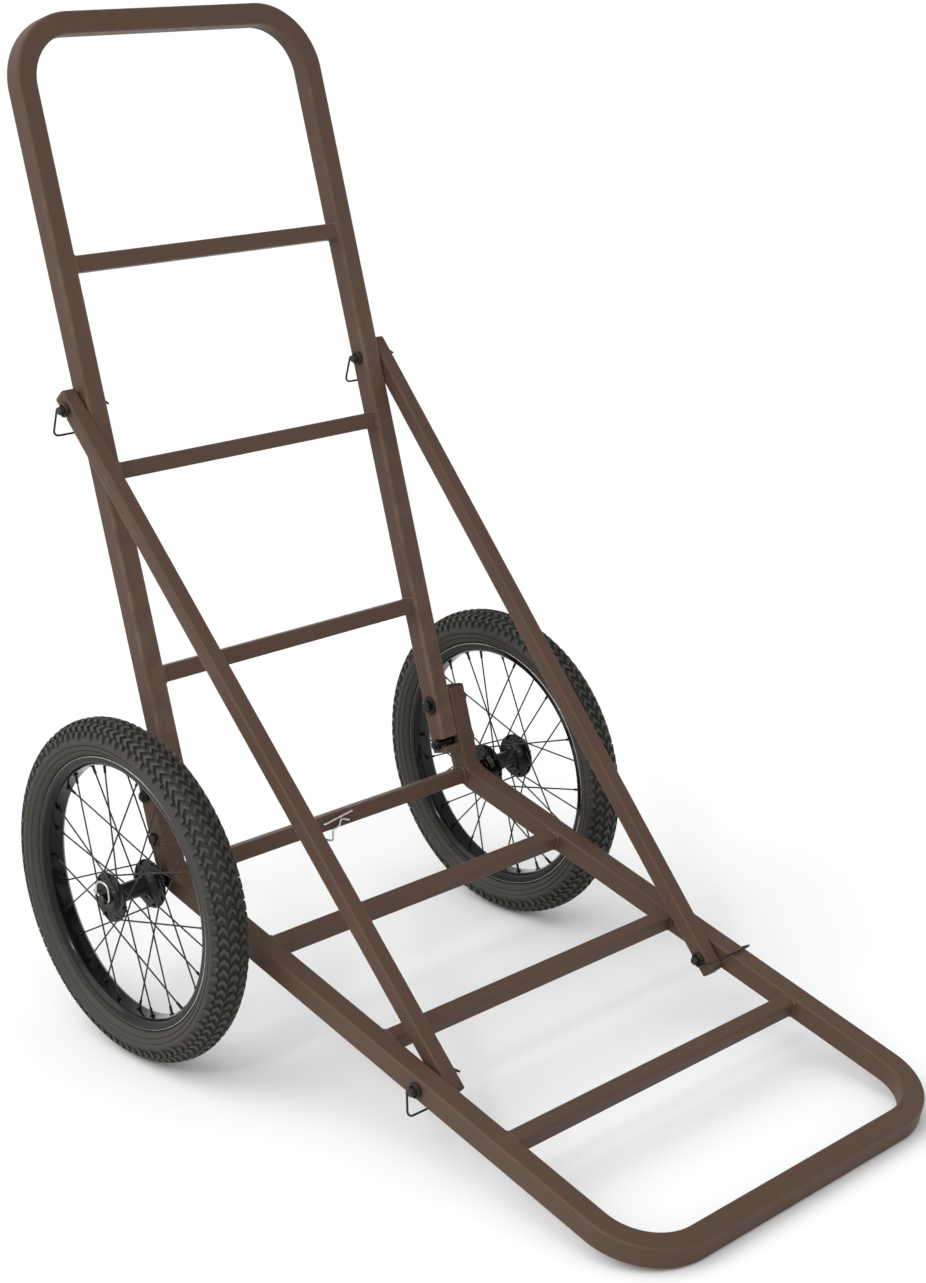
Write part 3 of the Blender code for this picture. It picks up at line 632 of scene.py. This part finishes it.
def braces():
    """Both braces, each with an upper hole that is open where the handle's pin leaves it."""
    pin_travel = X_AXIS.cross(LEG_UP) * (BRACE_PIN - PIVOT).length
    brace_travel = X_AXIS.cross(BRACE_PIN - BRACE_PIVOT) * BRACE_FOLD_RATIO
    for side_name, side in SIDES.items():
        foot = at_x(BRACE_PIVOT, side * BRACE_FOOT_X)
        top = at_x(BRACE_PIN, side * BRACE_TOP_X)
        along = (top - foot).normalized()
        ends = [foot - along * BRACE_END, top + along * BRACE_END]
        bm = bmesh.new()
        sweep(bm, with_end_rings(ends), X_AXIS, SLIM_OUTLINE, caps=False)
        node = "brace_" + side_name
        tube = new_piece(node + "_tube", bm, node, PAINT, [node], wall=SLIM_WALL)
        cut(tube, rod_cutter(top, PIN_RADIUS + LOOSE_FIT))
        cut(tube, box_cutter(top, pin_travel - brace_travel, 2 * (PIN_RADIUS + LOOSE_FIT)))
        flat_shading(tube)
        plug("brace_foot_plug_" + side_name, ends[0], -along, SLIM, SLIM_WALL, node)
        plug("brace_top_plug_" + side_name, ends[1], along, SLIM, SLIM_WALL, node)


# ---- Bolts, pins and clips ----


def hexagon(bm, point, low, high, way, start):
    """A hexagon head or nut along X with its corners chamfered on the side that faces way."""
    chamfer = 0.9 * MM
    near, far = (low, high) if way > 0 else (high, low)
    outline = [(near, 0), (near, HEX_RADIUS), (far - way * chamfer, HEX_RADIUS)]
    outline += [(far, HEX_RADIUS - 1.3 * MM), (far, 0)]
    lathe(bm, outline, at_x(point, 0), 6, start)


def collar(bm, point, low, high, inner, outer, round_off=0.4 * MM):
    """A ring along X with softened outer edges."""
    outline = [(low, inner), (low, outer - round_off), (low + round_off, outer)]
    outline += [(high - round_off, outer), (high, outer - round_off), (high, inner)]
    lathe(bm, outline, at_x(point, 0), 48)


def threaded_end(bm, point, start, end):
    """A bolt's thread, as close rings, from start to end along X, with a tapered tip."""
    way = 1 if end > start else -1
    turns = int(abs(end - start) / THREAD_PITCH)
    outline = [(start, 0)]
    for turn in range(turns):
        x = start + way * turn * THREAD_PITCH
        outline += [(x, BOLT_RADIUS - 0.55 * MM), (x + way * THREAD_PITCH / 2, BOLT_RADIUS)]
    tip = start + way * turns * THREAD_PITCH
    outline += [(tip, BOLT_RADIUS - 0.9 * MM), (tip, 0)]
    lathe(bm, outline, at_x(point, 0), 32)


def bolts():
    """Both bolts of each side: the pivot bolt's head is inside, and the lock bolt's is outside."""
    outer = RAIL_X + TUBE / 2 + GAP
    inner = LEG_X - TUBE / 2 - GAP
    lock = PIVOT + LEG_UP * LOCK_BOLT
    for side_name, side in SIDES.items():
        head_at = side * (inner - WASHER_HEIGHT - GAP)
        bolt("pivot_bolt_" + side_name, PIVOT, head_at, side * (outer + NUT_HEIGHT), 0.3)
        bm = bmesh.new()
        span = sorted((side * inner, side * (inner - WASHER_HEIGHT)))
        collar(bm, PIVOT, *span, BOLT_RADIUS + GAP, WASHER_RADIUS)
        node = "pivot_washer_" + side_name
        new_piece(node + "_steel", bm, "load_frame", BLACK_STEEL, [node], sharp=50)
        lock_nut("pivot_nut_" + side_name, PIVOT, side * outer, side)
        bolt("lock_bolt_" + side_name, lock, side * outer, side * (inner - NUT_HEIGHT), 0.1)
        lock_nut("lock_nut_" + side_name, lock, side * inner, -side)


def bolt(node, point, head_at, shank_end, turn):
    """A hexagon bolt along X: its head, a plain shank from head_at to shank_end, and some thread beyond."""
    way = 1 if shank_end > head_at else -1
    bm = bmesh.new()
    hexagon(bm, point, *sorted((head_at, head_at - way * BOLT_HEAD)), -way, turn)
    collar(bm, point, *sorted((head_at, shank_end)), 0, BOLT_RADIUS, 0.2 * MM)
    threaded_end(bm, point, shank_end, shank_end + way * THREAD_LENGTH)
    new_piece(node + "_steel", bm, "load_frame", BLACK_STEEL, [node], sharp=25)


def lock_nut(node, point, base, way):
    """A nut with a round collar on top, from x = base in the direction of way."""
    bm = bmesh.new()
    top = base + way * NUT_HEIGHT * 0.72
    hexagon(bm, point, *sorted((base, top)), way, 0.45)
    span = sorted((top, base + way * NUT_HEIGHT))
    collar(bm, point, *span, BOLT_RADIUS + 0.1 * MM, HEX_RADIUS - 1.6 * MM, 0.8 * MM)
    new_piece(node + "_steel", bm, "load_frame", BLACK_STEEL, [node], sharp=25)


def pins():
    """The four pins, each with the way its bail hangs, in degrees, and how deep."""
    hangs = {
        "upper_left": ("handle", 288, 36 * MM),
        "upper_right": ("handle", 288, 36 * MM),
        "lower_left": ("load_frame", 270, 32 * MM),
        "lower_right": ("load_frame", 150, 30 * MM),
    }
    for key, (body, degrees, depth) in hangs.items():
        level, side_name = key.split("_")
        node = level + "_pin_" + side_name
        lock_pin(node, body, degrees)
        bail(level + "_bail_" + side_name, degrees, depth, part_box(node)[1][0])


def lock_pin(node, body, degrees):
    """A shank with a tapered tip, the boss that its bail hinges in, and a coiled wire head."""
    start, tip = (corner[0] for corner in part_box(node))
    point = middle_of(node)
    bm = bmesh.new()
    shank = [(start + 9 * MM, 0), (start + 9 * MM, PIN_RADIUS), (tip - 1.6 * MM, PIN_RADIUS)]
    shank += [(tip - 0.3 * MM, PIN_RADIUS - 1.3 * MM), (tip, PIN_RADIUS - 1.9 * MM), (tip, 0)]
    lathe(bm, shank, at_x(point, 0), 32)
    profile = [(0, 0), (0, 3.6), (0.9, 4.5), (6.4, 4.5), (7.2, 5.4), (9.6, 5.4), (9.6, 0)]
    lathe(bm, [(start + x * MM, radius * MM) for x, radius in profile], at_x(point, 0), 32)
    coil = []
    turns = 1.9
    steps = 76
    for step in range(steps + 1):
        share = step / steps
        spin = in_section(degrees + 90 + 360 * turns * share)
        coil.append(at_x(point, start + (8.3 - 1.9 * share) * MM) + spin * (7.4 - 0.6 * share) * MM)
    sweep(bm, coil, X_AXIS, round_outline(COIL_WIRE_RADIUS))
    new_piece(node + "_steel", bm, body, PIN_STEEL, [node], sharp=45)


def bail(node, degrees, depth, tip):
    """The wire that hinges in the pin's boss, runs round the tubes and hooks over the pin's tip."""
    middle = joint_point(node.replace("bail", "bail_swing"))
    hang = in_section(degrees)
    across = X_AXIS.cross(hang)
    beside = across * BAIL_SIDE
    reach = X_AXIS * (tip + BAIL_PAST_TIP - middle.x)
    corners = [
        middle - across * BAIL_START,
        middle + beside,
        middle + beside + hang * depth,
        middle + beside + hang * depth + reach,
        middle + beside + reach,
        middle + reach - across * BAIL_END,
    ]
    bm = bmesh.new()
    route = rounded_route(corners, BAIL_BENDS, WIRE_STEP)
    sweep(bm, route, hang, round_outline(WIRE_RADIUS))
    new_piece(node + "_wire", bm, node, PIN_STEEL, [node], sharp=60)


def clips():
    """One hairpin locks the axle in its tube, and one keeps each wheel on."""
    axle_clip()
    for side_name, side in SIDES.items():
        hub_clip("hub_clip_" + side_name, side)


def axle_clip():
    """A wire through the tube and the axle, which springs back under the tube and up its front face.

    Its corners are distances from the axle's middle there, along X, forward and up the tube.
    """
    middle = at_x(AXLE, AXLE_CLIP_X)
    places = [(42, 15.5, 6), (0, 12.5, 0), (0, -13, 0), (1, -13, -15), (4, 6, -20)]
    places += [(7, 13, -22), (11, 12.5, -9), (21, 12.5, -7), (26, 12.3, 0.3), (36, 14.5, -3.5)]
    corners = [middle + (X_AXIS * x - LEG_BACK * forward + LEG_UP * up) * MM for x, forward, up in places]
    route = rounded_route(corners, [radius * MM for radius in (3, 4, 4, 5, 2.5, 3, 3, 2.5)], WIRE_STEP)
    bm = bmesh.new()
    sweep(bm, route, Vector((0.2, 0.3, 0.9)), round_outline(WIRE_RADIUS, WIRE_OUTLINE_SIDES))
    new_piece("axle_clip_wire", bm, "load_frame", ZINC, ["axle_clip"], sharp=60)


def hub_clip(node, side):
    """A wire through the axle's end, with a wavy tail behind and a ring over the end.

    Its corners are distances from the hole along X, Y and Z.
    """
    places = [(0, 20, 6), (0, 16.5, 2.5), (0, 12.5, 5.5), (0, 8, 1.1), (0, -11, -1.5)]
    places += [(side, -11, 21), (side * 2.2, 9.5, 21), (side * 3, 9.5, 5.5)]
    corners = [at_x(AXLE, side * HUB_CLIP_X) + Vector(place) * MM for place in places]
    route = rounded_route(corners, [radius * MM for radius in (2, 2, 2, 5, 8.5, 8.5)], WIRE_STEP)
    bm = bmesh.new()
    sweep(bm, route, X_AXIS, round_outline(WIRE_RADIUS, WIRE_OUTLINE_SIDES))
    new_piece(node + "_wire", bm, "load_frame", ZINC, [node], sharp=60)


def axle():
    """The rod, with a spacer between each rail and its wheel."""
    low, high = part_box("axle")
    radius = (high[2] - low[2]) / 2
    half = high[0]
    bm = bmesh.new()
    lathe(bm, mirrored([(half, 0), (half, radius - 1.2 * MM), (half - 1.2 * MM, radius)]), AXLE, 48)
    new_piece("axle_rod", bm, "load_frame", AXLE_STEEL, ["axle"], sharp=30)
    for side_name in SIDES:
        node = "axle_spacer_" + side_name
        low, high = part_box(node)
        bm = bmesh.new()
        collar(bm, AXLE, low[0], high[0], radius + GAP, SPACER_RADIUS, 0.8 * MM)
        new_piece(node + "_steel", bm, "load_frame", BLACK_STEEL, [node], sharp=50)


# ---- Wheels ----

CASING_CENTRE = WHEEL_RADIUS - 23.8 * MM
CASING_RADIUS = 20.9 * MM
BLOCK_HEIGHT = 2.8 * MM
TREAD_PITCHES = 96
GROOVE_SHADE_START = 7.5 * MM
RIM_BED = 146 * MM
RIM_LIP = 156.9 * MM
FLANGE_X = 26.5 * MM
FLANGE_PAD_CIRCLE = 21.6 * MM
SPOKE_CIRCLE = 25 * MM
WHEEL_STEPS = 160
SPOKE_COUNT = 28
SPOKE_CROSS = math.radians(64)


def casing_outline():
    """The tyre's section: a round crown, ribbed sidewalls and beads inside the rim's edges."""
    half = arc((0, CASING_CENTRE), CASING_RADIUS, 84, 12, 18)
    wall = [(22.6, 178.5), (22.9, 175.0), (22.5, 172.6), (21.3, 172.1), (21.2, 171.5), (22.2, 170.9)]
    wall += [(21.5, 168.0), (20.7, 166.3), (19.4, 165.9), (19.3, 165.3), (20.1, 164.7), (18.8, 162.6)]
    wall += [(17.0, 160.6), (15.6, 159.6), (12.9, 159.2), (12.9, 152.5)]
    inside = [(9.0, 152.5), (9.0, 160.0), (15.0, 165.5), (19.0, 171.0), (19.6, 177.0), (17.0, 185.0)]
    inside += [(10.0, 192.0)]
    half += [(x * MM, r * MM) for x, r in wall + inside]
    return mirrored(half)


def on_tread(across, around, height):
    """A point over the casing: across and around are arc lengths at the crown, height is outward."""
    lean = across / (CASING_RADIUS + BLOCK_HEIGHT / 2)
    out = CASING_RADIUS + height
    radius = CASING_CENTRE + out * math.cos(lean)
    angle = around / WHEEL_RADIUS
    return Vector((out * math.sin(lean), radius * math.cos(angle), radius * math.sin(angle)))


def tread_block(bm, centre, across, around, shape):
    """One block with slightly sloping sides. shape is its outline as (across, around) pairs."""
    base = []
    top = []
    for x, y in shape:
        base.append(bm.verts.new(centre + on_tread(across + x * 1.08, around + y * 1.08, -0.8 * MM)))
        top.append(bm.verts.new(centre + on_tread(across + x * 0.94, around + y * 0.94, BLOCK_HEIGHT)))
    count = len(shape)
    for corner in range(count):
        after = (corner + 1) % count
        bm.faces.new((base[corner], base[after], top[after], top[corner]))
    for loop in (base, top):
        bm.faces.new((loop[0], loop[1], loop[4], loop[5]))
        bm.faces.new((loop[1], loop[2], loop[3], loop[4]))


def chevron(half_width, thickness, depth, slant=0.0):
    """A V-shaped block; slant shifts its two arms against each other."""
    left, tip, right = depth / 2 + slant, -depth / 2, depth / 2 - slant
    return [
        (-half_width, left),
        (0, tip),
        (half_width, right),
        (half_width, right + thickness),
        (0, tip + thickness),
        (-half_width, left + thickness),
    ]


def tread(bm, centre):
    """Rows of V-shaped blocks, each half a pitch behind the next, and two sizes of lug on the shoulders."""
    pitch = math.tau * WHEEL_RADIUS / TREAD_PITCHES
    block = chevron(4.8 * MM, 5.6 * MM, 6.4 * MM)
    long_lug = chevron(4.6 * MM, 5.4 * MM, 1.6 * MM, 1.2 * MM)
    short_lug = chevron(2.6 * MM, 5.4 * MM, 1.0 * MM, 0.8 * MM)
    rows = [(-17.4 * MM, 0.5), (-5.8 * MM, 0.0), (5.8 * MM, 0.5), (17.4 * MM, 0.0)]
    for across, offset in rows:
        for number in range(TREAD_PITCHES):
            tread_block(bm, centre, across, (number + offset) * pitch, block)
    for side in SIDES.values():
        for number in range(TREAD_PITCHES):
            lug, across = (long_lug, 27.8 * MM) if number % 2 else (short_lug, 25.6 * MM)
            tread_block(bm, centre, side * across, (number + 0.25) * pitch, lug)


def tyre(side_name, centre):
    """The casing, with painted shade on its crown between the blocks, and its tread."""
    bm = bmesh.new()
    lathe(bm, casing_outline(), centre, WHEEL_STEPS)
    body = "wheel_" + side_name
    nodes = ["tyre_" + side_name]
    casing = new_piece("tyre_casing_" + side_name, bm, body, SIDEWALL, nodes, sharp=60)
    # The crown's outward faces take the near-black groove colour: painted shade between the blocks.
    casing.data.materials.append(PAINTED_GROOVE_SHADE)
    for face in casing.data.polygons:
        off = face.center - centre
        radius = math.hypot(off.y, off.z)
        if radius > CASING_CENTRE + GROOVE_SHADE_START and face.normal.dot(Vector((0, off.y, off.z))) > 0:
            face.material_index = 1
    bm = bmesh.new()
    tread(bm, centre)
    new_piece("tyre_tread_" + side_name, bm, body, TREAD, sharp=30)


def rim_outline():
    """A channel: a flat bed, sloping shoulders, and side walls that end in a rolled edge."""
    half = [(0, 147.5), (7.6, 147.5), (12.9, 151.9), (12.9, 156.6)]
    half += [(x / MM, r / MM) for x, r in arc((13.9 * MM, 157.0 * MM), 1.15 * MM, 150, -30, 8)]
    half += [(14.9, 155.6), (14.9, 152.0), (14.3, 150.4), (9.2, 146.2), (8.2, 146.0), (0, 146.0)]
    points = [(x * MM, r * MM) for x, r in half]
    return points + [(-x, r) for x, r in reversed(points[1:-1])]


def rim(side_name, centre):
    """The channel, with a seat for each nipple and a bright metal outer edge, a painted highlight."""
    bm = bmesh.new()
    lathe(bm, rim_outline(), centre, WHEEL_STEPS)
    for number in range(SPOKE_COUNT):
        root, tip = spoke_ends(number)
        way = (tip - root).normalized()
        seat = centre + tip
        sweep(bm, [seat - way * 0.6 * MM, seat + way * 1.8 * MM], X_AXIS, round_outline(3.1 * MM, 16))
    body = "wheel_" + side_name
    nodes = ["rim_" + side_name]
    channel = new_piece("rim_channel_" + side_name, bm, body, RIM_PAINT, nodes, sharp=40)
    # Faces on the rolled lip take bright metal: a painted highlight along the rim's edge.
    channel.data.materials.append(RIM_EDGE_HIGHLIGHT_METAL)
    for face in channel.data.polygons:
        off = face.center - centre
        if math.hypot(off.y, off.z) > RIM_LIP:
            face.material_index = 1


def wheel_point(x, radius, angle):
    return Vector((x, radius * math.cos(angle), radius * math.sin(angle)))


def spoke_facts(number):
    """A spoke's flange (-1 or 1), the face it leaves (1 is the outer one), and its angle at the rim."""
    side = 1 if number % 2 else -1
    lead = 1 if number // 2 % 2 else -1
    return side, lead, math.tau * number / SPOKE_COUNT


def spoke_ends(number):
    """Where a spoke leaves its flange and where it enters the rim, from the wheel's middle."""
    side, lead, angle = spoke_facts(number)
    root = wheel_point(side * (FLANGE_X + lead * 2.6 * MM), SPOKE_CIRCLE, angle + lead * SPOKE_CROSS)
    tip = wheel_point(side * 2.5 * MM, RIM_BED - 0.6 * MM, angle)
    return root, tip


def spokes(side_name, centre):
    """Each spoke has a head on one face of its flange, an elbow on the other, and a nipple at the rim."""
    body = "wheel_" + side_name
    wires = bmesh.new()
    nipples = bmesh.new()
    for number in range(SPOKE_COUNT):
        side, lead, angle = spoke_facts(number)
        root, tip = spoke_ends(number)
        hole_angle = angle + lead * SPOKE_CROSS
        head = wheel_point(side * (FLANGE_X - lead * 2.4 * MM), SPOKE_CIRCLE, hole_angle)
        corners = [centre + head, centre + root, centre + tip]
        route = rounded_route(corners, [1.8 * MM], math.radians(20))
        sweep(wires, route, Vector((0.3, 0.5, 0.8)), round_outline(0.95 * MM, 8))
        knob = [centre + head, centre + head - X_AXIS * side * lead * 0.9 * MM]
        sweep(wires, knob, Vector((0, 0, 1)), round_outline(1.9 * MM, 10))
        way = (tip - root).normalized()
        stem = [centre + tip - way * 10 * MM, centre + tip - way * 1.5 * MM, centre + tip + way * 0.8 * MM]
        sweep(nipples, stem, X_AXIS, round_outline(1.75 * MM, 10), swell=lambda point: (0.85, 1, 1.5)[point])
    nodes = ["spokes_" + side_name]
    new_piece("spoke_wires_" + side_name, wires, body, SPOKE_STEEL, nodes, sharp=50)
    new_piece("spoke_nipples_" + side_name, nipples, body, BLACK_STEEL, sharp=50)


def hub(side_name, centre):
    """A turned shell with two flanges and rivet-like pads between the spokes' heads."""
    half = [(0, 10.5), (13.5, 10.5), (18.5, 11.6), (22.0, 15.0), (24.6, 18.2), (25.0, 19.0), (25.1, 27.9)]
    half += [(25.6, 28.5), (27.4, 28.5), (27.9, 27.9), (28.0, 18.6), (29.2, 17.2), (32.0, 15.8), (32.5, 15.2)]
    half += [(32.5, 12.3), (23.5, 12.3), (23.5, 8.0), (0, 8.0)]
    points = [(x * MM, r * MM) for x, r in half]
    outline = points + [(-x, r) for x, r in reversed(points[1:-1])]
    bm = bmesh.new()
    lathe(bm, outline, centre, 72)
    pads = SPOKE_COUNT // 2
    for side in SIDES.values():
        for number in range(pads):
            angle = math.tau * (number + 0.5) / pads + 0.06
            for face in (1, -1):
                x = side * (FLANGE_X + face * 1.35 * MM)
                point = centre + wheel_point(x, FLANGE_PAD_CIRCLE, angle)
                pad = [point, point + X_AXIS * side * face * 0.5 * MM]
                sweep(bm, pad, Vector((0, 0, 1)), round_outline(1.5 * MM, 12))
    nodes = ["hub_" + side_name]
    new_piece("hub_shell_" + side_name, bm, "wheel_" + side_name, BLACK_STEEL, nodes, sharp=35)


def bearings(side_name):
    """Both bearings of a wheel, with a groove between the rings on each face."""
    groove = 0.5 * MM
    for end in ("outer", "inner"):
        node = "bearing_" + end + "_" + side_name
        low, high = (corner[0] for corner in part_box(node))
        face = [(0, 6.3 * MM), (0, 8.4 * MM), (groove, 8.8 * MM)]
        face += [(groove, 10.4 * MM), (0, 10.8 * MM), (0, 12.0 * MM)]
        outline = [(low + depth, radius) for depth, radius in face]
        outline += [(high - depth, radius) for depth, radius in reversed(face)]
        bm = bmesh.new()
        lathe(bm, outline, at_x(AXLE, 0), 48)
        new_piece(node + "_ring", bm, "wheel_" + side_name, AXLE_STEEL, [node], sharp=35)


def inner_tube(side_name, centre):
    """The butyl tube inside the tyre."""
    section = [(8.0, 190.6), (14.0, 184.5), (18.0, 177.0), (15.0, 169.5), (8.2, 162.5), (7.5, 152.0)]
    bm = bmesh.new()
    lathe(bm, mirrored([(x * MM, r * MM) for x, r in section]), centre, 96)
    node = "inner_tube_" + side_name
    new_piece(node + "_butyl", bm, "wheel_" + side_name, BUTYL, [node], sharp=60)


def wheels():
    """Both wheels, piece by piece."""
    for side_name, side in SIDES.items():
        centre = at_x(AXLE, side * WHEEL_X)
        tyre(side_name, centre)
        inner_tube(side_name, centre)
        rim(side_name, centre)
        spokes(side_name, centre)
        hub(side_name, centre)
        bearings(side_name)


# ---- Studio ----


def floor():
    """A plain pale floor that reaches the horizon."""
    bm = bmesh.new()
    bmesh.ops.create_grid(bm, x_segments=1, y_segments=1, size=FLOOR_SIZE)
    mesh = bpy.data.meshes.new("floor")
    bm.to_mesh(mesh)
    bm.free()
    nodes = Nodes("studio_floor")
    tone = nodes.mix(nodes.noise(3), (0.87, 0.87, 0.87), (0.88, 0.88, 0.88))
    mesh.materials.append(nodes.connect(Base_Color=tone, Roughness=0.9, Specular_IOR_Level=0.1))
    obj = bpy.data.objects.new("floor", mesh)
    bpy.context.scene.collection.objects.link(obj)
    obj.location.z = -FLOOR_DROP


def lamp(name, kind, energy):
    data = bpy.data.lights.new(name, kind)
    data.energy = energy
    obj = bpy.data.objects.new(name, data)
    bpy.context.scene.collection.objects.link(obj)
    return obj


def lights():
    """A wide soft key light from the left and a small softbox whose glint shows in glossy black parts."""
    key = lamp("key", "SUN", KEY_ENERGY)
    key.data.angle = KEY_ANGLE
    key.matrix_world = Vector(KEY_WAY).to_track_quat("-Z", "Y").to_matrix().to_4x4()
    glint = lamp("glint", "AREA", GLINT_POWER)
    glint.data.size = GLINT_SIZE
    way = Vector(GLINT_TARGET) - Vector(GLINT_PLACE)
    glint.matrix_world = Matrix.Translation(GLINT_PLACE) @ way.to_track_quat("-Z", "Y").to_matrix().to_4x4()


def sky():
    """A white surround that is brighter high on the left and dimmer high on the right."""
    world = bpy.data.worlds.new("studio")
    bpy.context.scene.world = world
    world.use_nodes = True
    tree = world.node_tree
    background = tree.nodes["Background"]
    background.inputs["Color"].default_value = (1, 1, 1, 1)
    direction = tree.nodes.new("ShaderNodeTexCoord").outputs["Generated"]
    split = tree.nodes.new("ShaderNodeSeparateXYZ")
    slant = tree.nodes.new("ShaderNodeMath")
    slant.operation = "MULTIPLY"
    strength = tree.nodes.new("ShaderNodeMath")
    strength.operation = "MULTIPLY_ADD"
    strength.inputs[1].default_value = SKY_SLANT
    strength.inputs[2].default_value = SKY_STRENGTH
    tree.links.new(direction, split.inputs["Vector"])
    tree.links.new(split.outputs["X"], slant.inputs[0])
    tree.links.new(split.outputs["Z"], slant.inputs[1])
    tree.links.new(slant.outputs[0], strength.inputs[0])
    tree.links.new(strength.outputs[0], background.inputs["Strength"])


def camera():
    """The photograph's viewpoint: in front and to the left, looking down a little."""
    yaw, pitch, roll = (math.radians(value) for value in CAMERA_TURN)
    forward = Vector((-math.sin(yaw) * math.cos(pitch), math.cos(yaw) * math.cos(pitch), math.sin(pitch)))
    level = Vector((math.cos(yaw), math.sin(yaw), 0))
    over = level.cross(forward)
    right = level * math.cos(roll) + over * math.sin(roll)
    up = over * math.cos(roll) - level * math.sin(roll)
    data = bpy.data.cameras.new("camera")
    data.sensor_fit = "HORIZONTAL"
    data.sensor_width = 36
    data.lens = CAMERA_LENS_MM
    data.shift_x, data.shift_y = CAMERA_SHIFT
    data.clip_end = 60
    obj = bpy.data.objects.new("camera", data)
    bpy.context.scene.collection.objects.link(obj)
    place = AXLE.copy()
    place.z = 0
    place += Vector(CAMERA_FROM_AXLE) * MM
    obj.matrix_world = Matrix.Translation(place) @ Matrix((right, up, -forward)).transposed().to_4x4()
    bpy.context.scene.camera = obj


camera()
sky()
lights()
floor()
deck_rail()
uprights()
crossbars_and_rungs()
handle_tube()
braces()
bolts()
pins()
clips()
axle()
wheels()

bpy.context.scene.view_settings.view_transform = "Standard"
bpy.context.view_layer.update()
